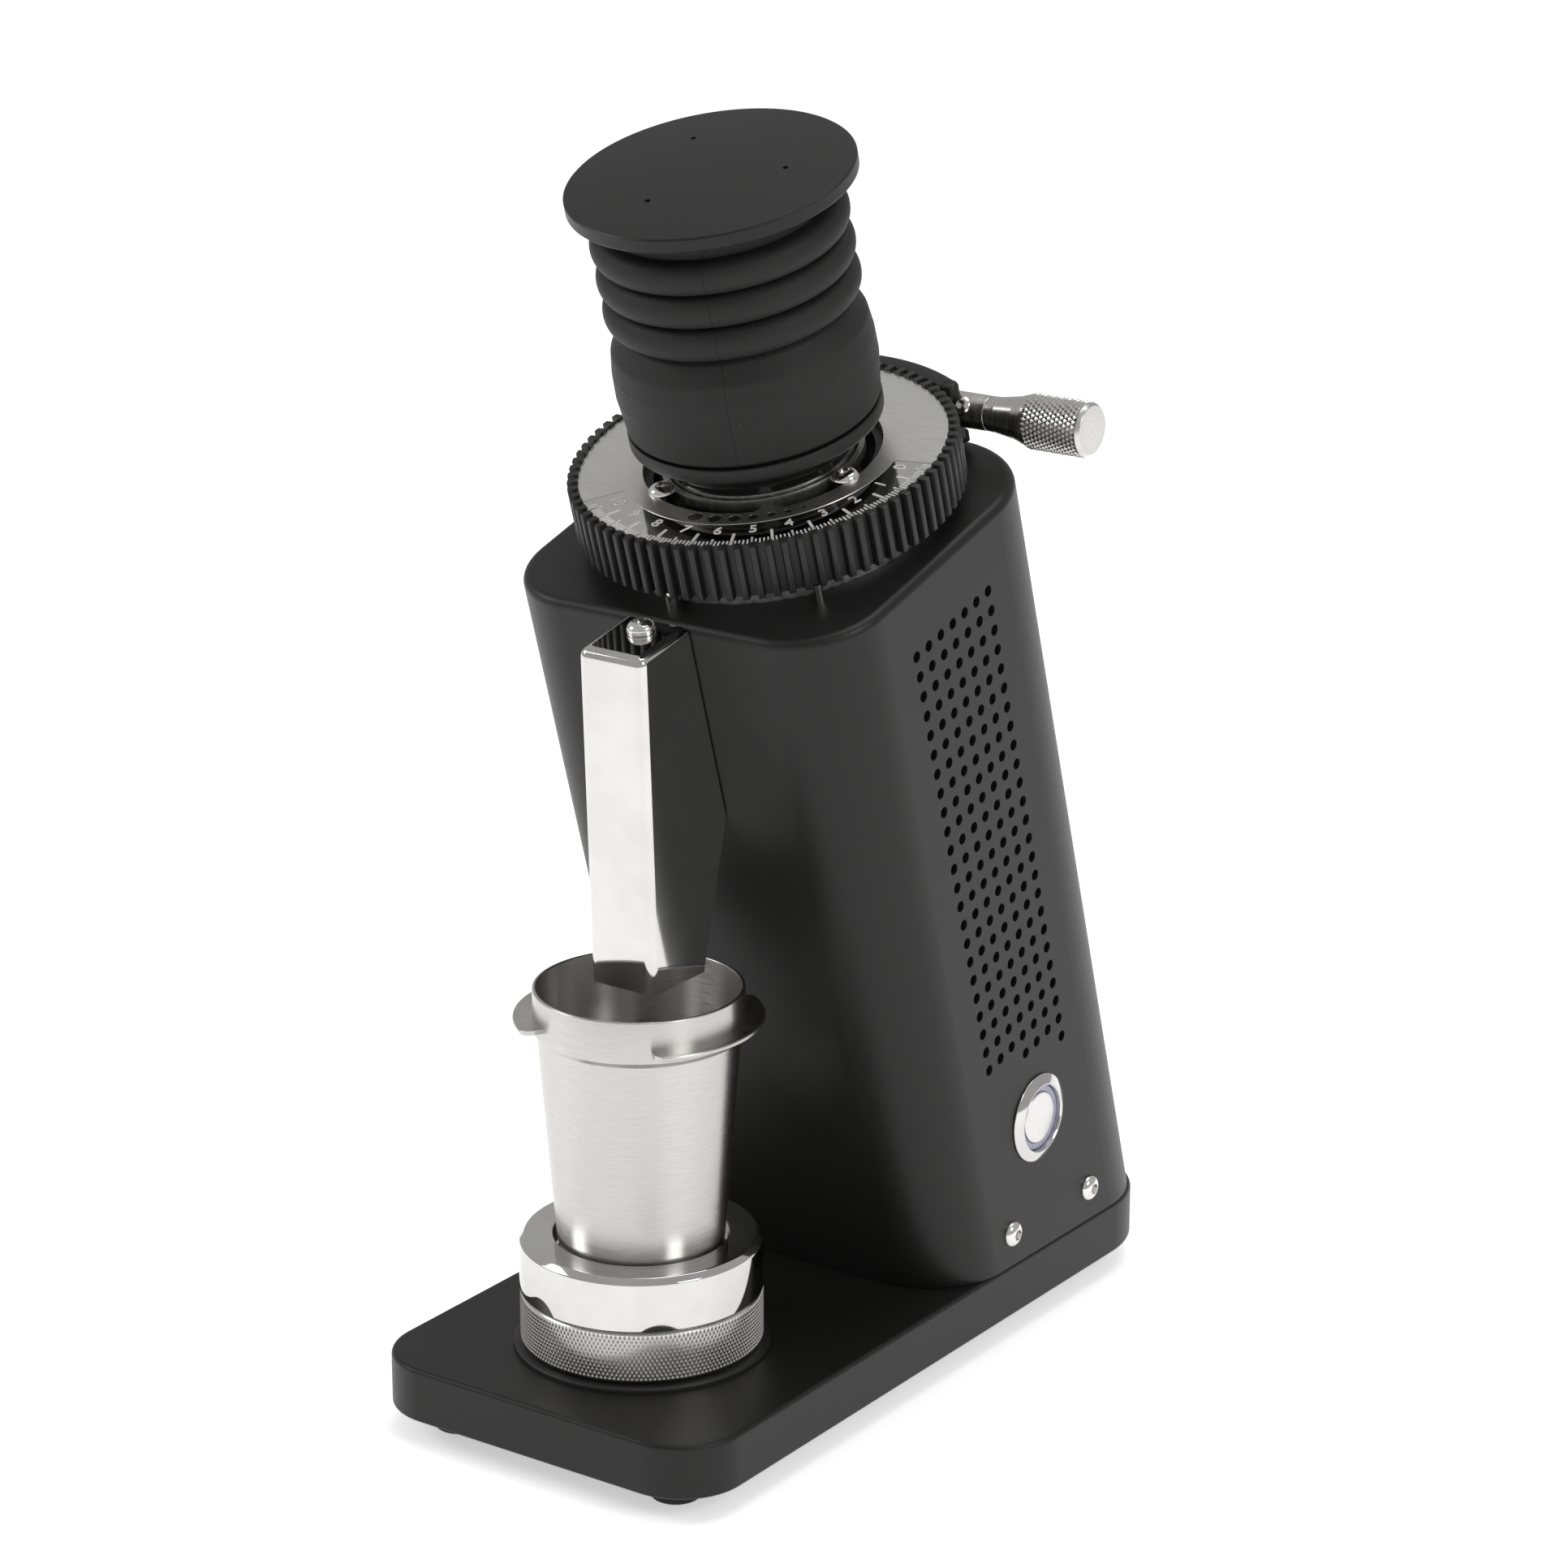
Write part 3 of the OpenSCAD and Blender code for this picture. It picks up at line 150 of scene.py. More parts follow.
def addGrain(material, coords, scale, bump, depth, roughness=None, tint=None, detail=3):
    # one noise drives the relief, the roughness range and a slight change of colour
    shader = material.node_tree.nodes["Principled BSDF"]
    noise = addNode(material, "ShaderNodeTexNoise", Scale=scale, Detail=detail, Roughness=0.6)
    join(material, coords, 0, noise, "Vector")
    if bump:
        relief = addNode(material, "ShaderNodeBump", Strength=bump, Distance=depth)
        join(material, noise, "Fac", relief, "Height")
        join(material, relief, "Normal", shader, "Normal")
    if roughness:
        spread = addNode(material, "ShaderNodeMapRange", To_Min=roughness[0], To_Max=roughness[1])
        spread.inputs["From Min"].default_value = 0.3
        spread.inputs["From Max"].default_value = 0.7
        join(material, noise, "Fac", spread, "Value")
        join(material, spread, "Result", shader, "Roughness")
    if tint:
        ramp = addNode(material, "ShaderNodeValToRGB")
        ramp.color_ramp.elements[0].position = 0.35
        ramp.color_ramp.elements[0].color = (*tint[0], 1)
        ramp.color_ramp.elements[1].position = 0.65
        ramp.color_ramp.elements[1].color = (*tint[1], 1)
        join(material, noise, "Fac", ramp, "Fac")
        join(material, ramp, "Color", shader, "Base Color")
    return material


worldCoords = Matrix.Identity(4)


def blastedBlack():
    material = finishOf("blastedBlack", Roughness=0.46, IOR=1.5, Specular_IOR_Level=0.3)
    return addGrain(material, localCoords(material, worldCoords), 2600, 0.1, 0.00005, (0.36, 0.48),
                    ((0.0078, 0.0074, 0.0072), (0.0112, 0.0107, 0.0103)))


def polishedBlack():
    material = finishOf("polishedBlack", Roughness=0.12, IOR=1.6, Base_Color=(0.012, 0.011, 0.011, 1))
    return addGrain(material, ringCoords(material, leanPlace), 900, 0.04, 0.00004, (0.10, 0.2))


def mirrorSteel():
    material = finishOf("mirrorSteel", Metallic=1.0, Roughness=0.05)
    return addGrain(material, localCoords(material, worldCoords), 60, 0.004, 0.0004, (0.035, 0.075),
                    ((0.61, 0.603, 0.592), (0.66, 0.655, 0.646)))


def turnedSteel(name, place, roughness=(0.16, 0.3), scale=2600, bump=0.05):
    material = finishOf(name, Metallic=1.0, Roughness=0.22)
    return addGrain(material, ringCoords(material, place), scale, bump, 0.00004, roughness,
                    ((0.55, 0.537, 0.515), (0.66, 0.65, 0.632)))


def brushedCupSteel():
    # brushed round and round, so highlights stretch up and down
    material = finishOf("brushedCupSteel", Metallic=1.0, Roughness=0.3, Anisotropic=0.8)
    upward = addNode(material, "ShaderNodeCombineXYZ", Z=1.0)
    join(material, upward, 0, material.node_tree.nodes["Principled BSDF"], "Tangent")
    coords = localCoords(material, standPlace, (1, 1, 26))
    return addGrain(material, coords, 160, 0.12, 0.00005, (0.26, 0.36),
                    ((0.52, 0.507, 0.485), (0.62, 0.607, 0.59)), detail=5)


def sandedSteel():
    material = finishOf("sandedSteel", Metallic=1.0, Roughness=0.32)
    coords = localCoords(material, leanPlace, (1.4, 38, 1))
    return addGrain(material, coords, 150, 0.1, 0.00005, (0.27, 0.4),
                    ((0.62, 0.615, 0.6), (0.72, 0.715, 0.705)), detail=4)


def brightSteel():
    material = finishOf("brightSteel", Metallic=1.0, Roughness=0.13)
    return addGrain(material, localCoords(material, worldCoords), 900, 0.02, 0.00005, (0.1, 0.17),
                    ((0.7, 0.68, 0.66), (0.8, 0.79, 0.77)))


def mouldedBlack():
    material = finishOf("mouldedBlack", Roughness=0.45, IOR=1.5, Specular_IOR_Level=0.4)
    return addGrain(material, localCoords(material, worldCoords), 1700, 0.3, 0.00008, (0.38, 0.55),
                    ((0.0085, 0.0085, 0.0085), (0.014, 0.0138, 0.0136)))


def siliconeRubber():
    material = finishOf("siliconeRubber", Roughness=0.6, IOR=1.42, Specular_IOR_Level=0.4)
    addGrain(material, localCoords(material, worldCoords), 1300, 0.35, 0.00009, (0.52, 0.7),
             ((0.0095, 0.0095, 0.0093), (0.0155, 0.0152, 0.0148)))
    # light dust specks that rubber always holds
    shader = material.node_tree.nodes["Principled BSDF"]
    tint = shader.inputs["Base Color"].links[0].from_node
    specks = addNode(material, "ShaderNodeTexVoronoi", Scale=620.0, Randomness=1.0)
    join(material, localCoords(material, worldCoords), 0, specks, "Vector")
    few = addNode(material, "ShaderNodeMapRange")
    few.inputs["From Min"].default_value = 0.1
    few.inputs["From Max"].default_value = 0.05
    join(material, specks, "Distance", few, "Value")
    pick = addNode(material, "ShaderNodeMath", operation="GREATER_THAN")
    pick.inputs[1].default_value = 0.86
    parts = addNode(material, "ShaderNodeSeparateXYZ")
    join(material, specks, "Color", parts, 0)
    join(material, parts, "X", pick, 0)
    both = addNode(material, "ShaderNodeMath", operation="MULTIPLY")
    join(material, few, "Result", both, 0)
    join(material, pick, 0, both, 1)
    blend = addNode(material, "ShaderNodeMix", data_type="RGBA")
    blend.inputs[7].default_value = (0.09, 0.085, 0.08, 1)
    join(material, both, 0, blend, 0)
    join(material, tint, "Color", blend, 6)
    join(material, blend, 2, shader, "Base Color")
    return material


def plainGrain(name, colors, roughness, metallic=0.0, scale=700, bump=0.2, depth=0.0001):
    material = finishOf(name, Metallic=metallic, Roughness=roughness[0])
    return addGrain(material, localCoords(material, worldCoords), scale, bump, depth, roughness, colors)


blackShell = blastedBlack()
blackGloss = polishedBlack()
mirror = mirrorSteel()
cupSteel = brushedCupSteel()
discSteel = sandedSteel()
screwSteel = brightSteel()
ringBlack = mouldedBlack()
rubber = siliconeRubber()
standSteel = turnedSteel("turnedStandSteel", standPlace, (0.14, 0.24))
scaleSteel = plainGrain("scaleSteel", ((0.78, 0.77, 0.755), (0.86, 0.85, 0.84)), (0.4, 0.5), 0.35, 1500, 0.1)
castAluminium = plainGrain("castAluminium", ((0.42, 0.42, 0.42), (0.55, 0.55, 0.55)), (0.3, 0.5), 1.0, 500)
motorSteel = plainGrain("motorSteel", ((0.16, 0.16, 0.17), (0.24, 0.24, 0.25)), (0.3, 0.5), 1.0)
windingCopper = plainGrain("windingCopper", ((0.6, 0.25, 0.09), (0.75, 0.36, 0.15)), (0.25, 0.45), 1.0)
burrSteel = plainGrain("burrSteel", ((0.38, 0.32, 0.22), (0.48, 0.42, 0.3)), (0.25, 0.4), 1.0)
boardGreen = plainGrain("boardGreen", ((0.01, 0.09, 0.03), (0.02, 0.13, 0.05)), (0.3, 0.5))
wireRed = plainGrain("wireRed", ((0.3, 0.02, 0.015), (0.4, 0.03, 0.02)), (0.35, 0.5))
lightRing = plainGrain("lightRing", ((0.3, 0.3, 0.4), (0.36, 0.36, 0.48)), (0.25, 0.4))
buttonFace = plainGrain("buttonFace", ((0.68, 0.665, 0.65), (0.75, 0.74, 0.73)), (0.28, 0.36), 1.0, 2200, 0.1)
print("materials ready")


# ---- mesh helpers

def toObject(name, mesh, material=None, sharp=32):
    mesh.name = name
    mesh.shade_smooth()
    mesh.set_sharp_from_angle(angle=math.radians(sharp))
    piece = bpy.data.objects.new(name, mesh)
    bpy.context.scene.collection.objects.link(piece)
    if material:
        mesh.materials.clear()
        mesh.materials.append(material)
    return piece


def fromBmesh(name, work, place=None, material=None, sharp=32):
    bmesh.ops.recalc_face_normals(work, faces=work.faces)
    if place is not None:
        bmesh.ops.transform(work, matrix=place, verts=work.verts)
    mesh = bpy.data.meshes.new(name)
    work.to_mesh(mesh)
    work.free()
    return toObject(name, mesh, material, sharp)


def applied(piece, sharp=32):
    # the shape with its modifiers made real
    graph = bpy.context.evaluated_depsgraph_get()
    mesh = bpy.data.meshes.new_from_object(piece.evaluated_get(graph))
    old = piece.data
    piece.modifiers.clear()
    piece.data = mesh
    bpy.data.meshes.remove(old)
    mesh.shade_smooth()
    mesh.set_sharp_from_angle(angle=math.radians(sharp))
    return piece


def evenShading(piece):
    # broad flat faces keep their own normal next to a rounded edge
    weighted = piece.modifiers.new("evenShading", "WEIGHTED_NORMAL")
    weighted.keep_sharp = True
    weighted.weight = 100
    return piece


def cut(piece, *cutters, sharp=32):
    for cutter in cutters:
        carve = piece.modifiers.new("cut", "BOOLEAN")
        carve.operation = "DIFFERENCE"
        carve.solver = "EXACT"
        carve.object = cutter
        applied(piece, sharp)
        bpy.data.objects.remove(cutter)
    return piece


def merged(name, *pieces):
    # several closed shells as one piece
    work = bmesh.new()
    materials = []
    for piece in pieces:
        first = len(work.faces)
        offset = len(materials)
        work.from_mesh(piece.data)
        work.faces.ensure_lookup_table()
        for face in work.faces[first:]:
            face.material_index += offset
        materials += list(piece.data.materials)
        bpy.data.objects.remove(piece)
    mesh = bpy.data.meshes.new(name)
    work.to_mesh(mesh)
    work.free()
    whole = bpy.data.objects.new(name, mesh)
    bpy.context.scene.collection.objects.link(whole)
    for material in materials:
        mesh.materials.append(material)
    return whole


def softPath(corners, steps=5, closed=True):
    # corners are (x, y) or (x, y, roundness); round ones become arcs
    path = []
    count = len(corners)
    for i, corner in enumerate(corners):
        here = np.array(corner[:2], float)
        radius = corner[2] if len(corner) > 2 else 0
        before = np.array(corners[i - 1][:2], float) - here
        after = np.array(corners[(i + 1) % count][:2], float) - here
        if radius <= 0 or (not closed and i in (0, count - 1)):
            path.append(tuple(here))
            continue
        a, b = before / np.linalg.norm(before), after / np.linalg.norm(after)
        angle = math.acos(max(-1, min(1, float(a @ b))))
        reach = min(radius / math.tan(angle / 2), np.linalg.norm(before) * 0.49, np.linalg.norm(after) * 0.49)
        middle = (a + b) / np.linalg.norm(a + b)
        centre = here + middle * reach / math.cos(angle / 2)
        start, end = here + a * reach - centre, here + b * reach - centre
        turn = math.atan2(start[0] * end[1] - start[1] * end[0], float(start @ end))
        for k in range(steps + 1):
            t = turn * k / steps
            path.append((centre[0] + start[0] * math.cos(t) - start[1] * math.sin(t),
                         centre[1] + start[0] * math.sin(t) + start[1] * math.cos(t)))
    return path


def skin(work, rings, closed):
    pairs = list(zip(rings, rings[1:] + rings[:1])) if closed else list(zip(rings, rings[1:]))
    for low, high in pairs:
        around = max(len(low), len(high))
        if around == 1:
            continue
        for i in range(around):
            j = (i + 1) % around
            loop = [low[i % len(low)], low[j % len(low)], high[j % len(high)], high[i % len(high)]]
            work.faces.new(list(dict.fromkeys(loop)))


def lathe(name, corners, place, material=None, sides=144, steps=4, sharp=32):
    # corners are (radius, height) in millimetres, going round the section
    work = bmesh.new()
    rings = []
    for radius, height in softPath(corners, steps):
        if radius < 1e-6:
            rings.append([work.verts.new((0, 0, height * mm))])
            continue
        turns = [2 * math.pi * k / sides for k in range(sides)]
        rings.append([work.verts.new((radius * mm * math.cos(t), radius * mm * math.sin(t), height * mm))
                      for t in turns])
    skin(work, rings, True)
    return fromBmesh(name, work, place, material, sharp)


def arcBar(name, corners, start, end, place, material=None, sides=64, steps=4, sharp=32):
    # a section swept part of the way round, with closed ends
    work = bmesh.new()
    path = softPath(corners, steps)
    rows = []
    for k in range(sides + 1):
        t = math.radians(start + (end - start) * k / sides)
        rows.append([work.verts.new((r * mm * math.cos(t), r * mm * math.sin(t), h * mm)) for r, h in path])
    for low, high in zip(rows, rows[1:]):
        for i in range(len(path)):
            j = (i + 1) % len(path)
            work.faces.new((low[i], low[j], high[j], high[i]))
    work.faces.new(rows[0])
    work.faces.new(list(reversed(rows[-1])))
    return fromBmesh(name, work, place, material, sharp)


def loft(name, layers, place, material=None, sharp=32):
    # closed solid through a stack of outlines: (points in millimetres, height)
    work = bmesh.new()
    rings = [[work.verts.new((x * mm, y * mm, height * mm)) for x, y in points] for points, height in layers]
    skin(work, rings, False)
    work.faces.new(list(reversed(rings[0])))
    work.faces.new(rings[-1])
    return fromBmesh(name, work, place, material, sharp)


def prism(name, points, low, high, place, material=None, sharp=32):
    return loft(name, [(points, low), (points, high)], place, material, sharp)


def slabRing(half, front, rear, frontCorner, rearCorner, inset=0.0, steps=16):
    corners = ((half - rearCorner, rear - rearCorner, rearCorner, 0),
               (rearCorner - half, rear - rearCorner, rearCorner, 90),
               (frontCorner - half, frontCorner - front, frontCorner, 180),
               (half - frontCorner, frontCorner - front, frontCorner, 270))
    points = []
    for x, y, radius, first in corners:
        for k in range(steps + 1):
            t = math.radians(first + 90 * k / steps)
            points.append((x + (radius - inset) * math.cos(t), y + (radius - inset) * math.sin(t)))
    return points


def softSlab(ring, low, high, under, over, steps=6):
    # outlines for a slab whose lower and upper edges are rounded
    layers = []
    for k in range(steps + 1):
        t = math.pi / 2 * k / steps
        layers.append((ring(under * (1 - math.sin(t))), low + under * (1 - math.cos(t))))
    for k in range(steps + 1):
        t = math.pi / 2 * k / steps
        layers.append((ring(over * (1 - math.cos(t))), high - over * (1 - math.sin(t))))
    return layers


def rod(name, radius, start, end, sides=32, material=None):
    start, end = Vector(start), Vector(end)
    work = bmesh.new()
    bmesh.ops.create_cone(work, cap_ends=True, segments=sides, radius1=radius, radius2=radius,
                          depth=(end - start).length)
    place = (end - start).to_track_quat("Z", "Y").to_matrix().to_4x4()
    place.translation = (start + end) / 2
    return fromBmesh(name, work, place, material)


def localRod(name, place, radius, start, end, sides=32, material=None):
    return rod(name, radius * mm, place @ (Vector(start) * mm), place @ (Vector(end) * mm), sides, material)


# ---- geometry nodes: copies of one piece, round an axis in rows, or at marked places

def newTree(name, sockets):
    tree = bpy.data.node_groups.new(name, "GeometryNodeTree")
    tree.interface.new_socket("Geometry", in_out="INPUT", socket_type="NodeSocketGeometry")
    for label, kind in sockets:
        tree.interface.new_socket(label, in_out="INPUT", socket_type="NodeSocket" + kind)
    tree.interface.new_socket("Geometry", in_out="OUTPUT", socket_type="NodeSocketGeometry")
    return tree, tree.nodes.new("NodeGroupInput"), tree.nodes.new("NodeGroupOutput")


def mathNode(tree, operation, a, b=None):
    node = tree.nodes.new("ShaderNodeMath")
    node.operation = operation
    for slot, value in ((0, a), (1, b)):
        if value is None:
            continue
        if isinstance(value, (int, float)):
            node.inputs[slot].default_value = value
        else:
            tree.links.new(value, node.inputs[slot])
    return node.outputs[0]


def placeCopies(tree, given, result, points, turn):
    # instances on the points, made real and given their material
    link = tree.links.new
    piece = tree.nodes.new("GeometryNodeObjectInfo")
    link(given.outputs["Piece"], piece.inputs["Object"])
    copies = tree.nodes.new("GeometryNodeInstanceOnPoints")
    link(points, copies.inputs["Points"])
    link(piece.outputs["Geometry"], copies.inputs["Instance"])
    link(turn, copies.inputs["Rotation"])
    real = tree.nodes.new("GeometryNodeRealizeInstances")
    link(copies.outputs["Instances"], real.inputs["Geometry"])
    coat = tree.nodes.new("GeometryNodeSetMaterial")
    link(real.outputs["Geometry"], coat.inputs["Geometry"])
    link(given.outputs["Finish"], coat.inputs["Material"])
    link(coat.outputs["Geometry"], result.inputs["Geometry"])


def ringTree():
    # each copy is turned to face out; rows may be shifted round by Row Turn
    tree, given, result = newTree("ringOfCopies", [
        ("Piece", "Object"), ("Finish", "Material"), ("Count", "Int"), ("Rows", "Int"), ("Radius", "Float"),
        ("Start Angle", "Float"), ("Step Angle", "Float"), ("Row Turn", "Float"), ("Row Height", "Float")])
    link = tree.links.new
    index = tree.nodes.new("GeometryNodeInputIndex").outputs[0]
    count = given.outputs["Count"]
    row = mathNode(tree, "FLOOR", mathNode(tree, "DIVIDE", index, count))
    column = mathNode(tree, "SUBTRACT", index, mathNode(tree, "MULTIPLY", row, count))
    shift = mathNode(tree, "MULTIPLY", mathNode(tree, "MODULO", row, 2), given.outputs["Row Turn"])
    turn = mathNode(tree, "MULTIPLY", column, given.outputs["Step Angle"])
    angle = mathNode(tree, "ADD", mathNode(tree, "ADD", turn, shift), given.outputs["Start Angle"])
    spot = tree.nodes.new("ShaderNodeCombineXYZ")
    link(mathNode(tree, "MULTIPLY", mathNode(tree, "COSINE", angle), given.outputs["Radius"]), spot.inputs[0])
    link(mathNode(tree, "MULTIPLY", mathNode(tree, "SINE", angle), given.outputs["Radius"]), spot.inputs[1])
    link(mathNode(tree, "MULTIPLY", row, given.outputs["Row Height"]), spot.inputs[2])
    points = tree.nodes.new("GeometryNodePoints")
    link(mathNode(tree, "MULTIPLY", count, given.outputs["Rows"]), points.inputs["Count"])
    link(spot.outputs[0], points.inputs["Position"])
    facing = tree.nodes.new("ShaderNodeCombineXYZ")
    link(angle, facing.inputs[2])
    placeCopies(tree, given, result, points.outputs[0], facing.outputs[0])
    return tree


def markedTree():
    # a copy at every vertex, its Z along the vertex's own facing
    tree, given, result = newTree("copiesAtMarks", [("Piece", "Object"), ("Finish", "Material")])
    link = tree.links.new
    facing = tree.nodes.new("GeometryNodeInputNamedAttribute")
    facing.data_type = "FLOAT_VECTOR"
    facing.inputs["Name"].default_value = "facing"
    aim = tree.nodes.new("FunctionNodeAlignRotationToVector")
    aim.axis = "Z"
    link(facing.outputs[0], aim.inputs["Vector"])
    points = tree.nodes.new("GeometryNodeMeshToPoints")
    link(given.outputs["Geometry"], points.inputs["Mesh"])
    placeCopies(tree, given, result, points.outputs[0], aim.outputs[0])
    return tree


ringOfCopies, copiesAtMarks = ringTree(), markedTree()


def grow(name, tree, host, place=None, sharp=32, **values):
    # runs a tree on a host object and keeps the plain mesh
    growth = host.modifiers.new(name, "NODES")
    growth.node_group = tree
    names = {item.name: item.identifier for item in tree.interface.items_tree if item.in_out == "INPUT"}
    for label, value in values.items():
        growth[names[label.replace("_", " ")]] = value
    graph = bpy.context.evaluated_depsgraph_get()
    mesh = bpy.data.meshes.new_from_object(host.evaluated_get(graph))
    bpy.data.objects.remove(host)
    bpy.data.objects.remove(values["Piece"])
    if place is not None:
        mesh.transform(place)
    return toObject(name, mesh, None, sharp)


def hostOf(name, spots=(), facings=()):
    mesh = bpy.data.meshes.new(name + "Host")
    mesh.from_pydata([tuple(spot) for spot in spots], [], [])
    if facings:
        mesh.attributes.new("facing", "FLOAT_VECTOR", "POINT")
        mesh.attributes["facing"].data.foreach_set("vector", [c for facing in facings for c in facing])
    host = bpy.data.objects.new(name + "Host", mesh)
    bpy.context.scene.collection.objects.link(host)
    return host


def ring(name, piece, material, place, count, radius, start=0.0, step=None, rows=1, rowTurn=0.0, rowHeight=0.0,
         low=0.0):
    step = 360 / count if step is None else step
    lifted = place @ Matrix.Translation((0, 0, low * mm))
    return grow(name, ringOfCopies, hostOf(name), lifted, Piece=piece, Finish=material, Count=count, Rows=rows,
                Radius=radius * mm, Start_Angle=math.radians(start), Step_Angle=math.radians(step),
                Row_Turn=math.radians(rowTurn), Row_Height=rowHeight * mm)


def marked(name, piece, material, spots, facings):
    return grow(name, copiesAtMarks, hostOf(name, spots, facings), Piece=piece, Finish=material)


def diamond(width, height, depth):
    # one raised point of a knurl: X outwards, its foot sunk a little into the core
    work = bmesh.new()
    foot = [(-0.1, -width / 2, 0), (-0.1, 0, -height / 2), (-0.1, width / 2, 0), (-0.1, 0, height / 2)]
    low = [work.verts.new([c * mm for c in spot]) for spot in foot]
    top = work.verts.new((depth * mm, 0, 0))
    for i in range(4):
        work.faces.new((low[i], low[(i + 1) % 4], top))
    work.faces.new(list(reversed(low)))
    return fromBmesh("diamond", work)


def knurl(name, material, place, radius, low, high, count, depth):
    # two crossing helices leave rows of diamonds, every other row half a step round
    width = 2 * math.pi * radius / count
    tall = width * 1.75
    rows = int((high - low) / (tall / 2)) - 1
    start = (high + low) / 2 - (rows - 1) * tall / 4
    return ring(name, diamond(width * 0.97, tall * 0.97, depth), material, place, count, radius - depth,
                rows=rows, rowTurn=180 / count, rowHeight=tall / 2, low=start)


def looseCentres(node, place):
    # the middle of each separate solid of a node, in a local frame
    work = bmesh.new()
    work.from_mesh(frame["nodes"][node].data)
    bmesh.ops.remove_doubles(work, verts=work.verts, dist=1e-6)
    back = place.inverted()
    left, spans = set(work.verts), []
    while left:
        seed = left.pop()
        island, edge = [seed], [seed]
        while edge:
            vert = edge.pop()
            for link in vert.link_edges:
                other = link.other_vert(vert)
                if other in left:
                    left.remove(other)
                    island.append(other)
                    edge.append(other)
        spots = np.array([back @ v.co for v in island])
        spans.append((Vector(spots.min(0)), Vector(spots.max(0))))
    work.free()
    return spans


def keep(piece, body, slot, *nodes):
    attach(piece, body)
    if nodes:
        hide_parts(*nodes)
    return piece


# ---- base and feet

baseLook = dict(frontCorner=18.7, rearCorner=31.0, topEdge=1.3, underEdge=0.9)


def makeBase():
    low, high = (corner / mm for corner in spanOf("base_plate", uprightPlace))
    corners = baseLook["frontCorner"], baseLook["rearCorner"]
    outline = lambda inset: slabRing(high.x, -low.y, high.y, *corners, inset)
    base = loft("basePlate", softSlab(outline, low.z, high.z, baseLook["underEdge"], baseLook["topEdge"]),
                uprightPlace, blackShell)
    keep(evenShading(base), "housing", "black_anodised", "base_plate")
    spans = looseCentres("rubber_feet", uprightPlace)
    radius = (spans[0][1].x - spans[0][0].x) / 2 / mm
    tall = (spans[0][1].z - spans[0][0].z) / mm
    foot = lathe("foot", [(3.4, 3), (3.4, 0, 0.4), (radius - 0.6, 0, 1.2), (radius, tall * 0.6, 1),
                          (radius - 0.3, tall), (0, tall), (0, 3)], Matrix.Identity(4), sides=48)
    spots = [uprightPlace @ Vector(((a.x + b.x) / 2, (a.y + b.y) / 2, 0)) for a, b in spans]
    feet = marked("rubberFeet", foot, rubber, spots, [(0, 0, 1)] * len(spots))
    keep(feet, "housing", "rubber", "rubber_feet")


makeBase()
print("base ready")


# ---- body shell

shellLook = dict(frontCorner=23.0, rearCorner=31.0, topEdge=2.6, wall=2.5, seam=0.15, collarHole=45.3)
ventLook = dict(columns=7, rows=25, columnPitch=5.9, rowPitch=6.07, radius=1.6, middle=-4.0, topDrop=20.2,
                floor=83.9)


def makeShell():
    low, high = (corner / mm for corner in spanOf("body_shell", leanPlace))
    top, front, rear, half = high.z, -low.y, high.y, high.x
    look = shellLook
    outer = lambda inset: slabRing(half, front, rear, look["frontCorner"], look["rearCorner"], inset)
    shell = loft("bodyShell", softSlab(outer, -10, top, 0.01, look["topEdge"], 8), leanPlace, blackShell)
    inner = prism("hollow", outer(look["wall"]), -14, top - 4, leanPlace)
    collar = localRod("collar", leanPlace, look["collarHole"], (0, 0, top - 8), (0, 0, top + 4), 96)
    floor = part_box("base_plate")[1].z + look["seam"] * mm
    ground = prism("ground", [(-90, -200), (90, -200), (90, 200), (-90, 200)], -60, floor / mm, uprightPlace)
    button = spanOf("button_bezel", leanPlace)
    middle = (button[0] + button[1]) / 2 / mm
    buttonHole = localRod("buttonHole", leanPlace, 11, (half - 8, middle.y, middle.z),
                          (half + 8, middle.y, middle.z))
    socket = spanOf("power_inlet", leanPlace)
    away = (socket[0].z + socket[1].z) / 2 / mm
    inletHole = prism("inletHole", [(-14, rear - 8), (14, rear - 8), (14, rear + 8), (-14, rear + 8)],
                      away - 10, away + 10, leanPlace)
    drills = []
    vents = ventLook
    for column in range(vents["columns"]):
        across = (column - (vents["columns"] - 1) / 2) * vents["columnPitch"] + vents["middle"]
        for row in range(vents["rows"]):
            along = top - vents["topDrop"] - row * vents["rowPitch"]
            if (leanPlace @ Vector((0, across * mm, along * mm))).z / mm > vents["floor"]:
                drills.append(leanPlace @ Vector((0, across * mm, along * mm)))
    drill = rod("drill", vents["radius"] * mm, (0, 0, -(half + 3) * mm), (0, 0, (half + 3) * mm), 14)
    holes = marked("ventHoles", drill, blackShell, drills, [(1, 0, 0)] * len(drills))
    cut(shell, inner, collar, ground, buttonHole, inletHole, holes)
    keep(evenShading(shell), "housing", "black_anodised", "body_shell")


makeShell()
print("shell ready")


# ---- button-head screws

screwSizes = dict(m3=(2.8, 1.7, 1.15), m4=(3.8, 2.3, 1.45))


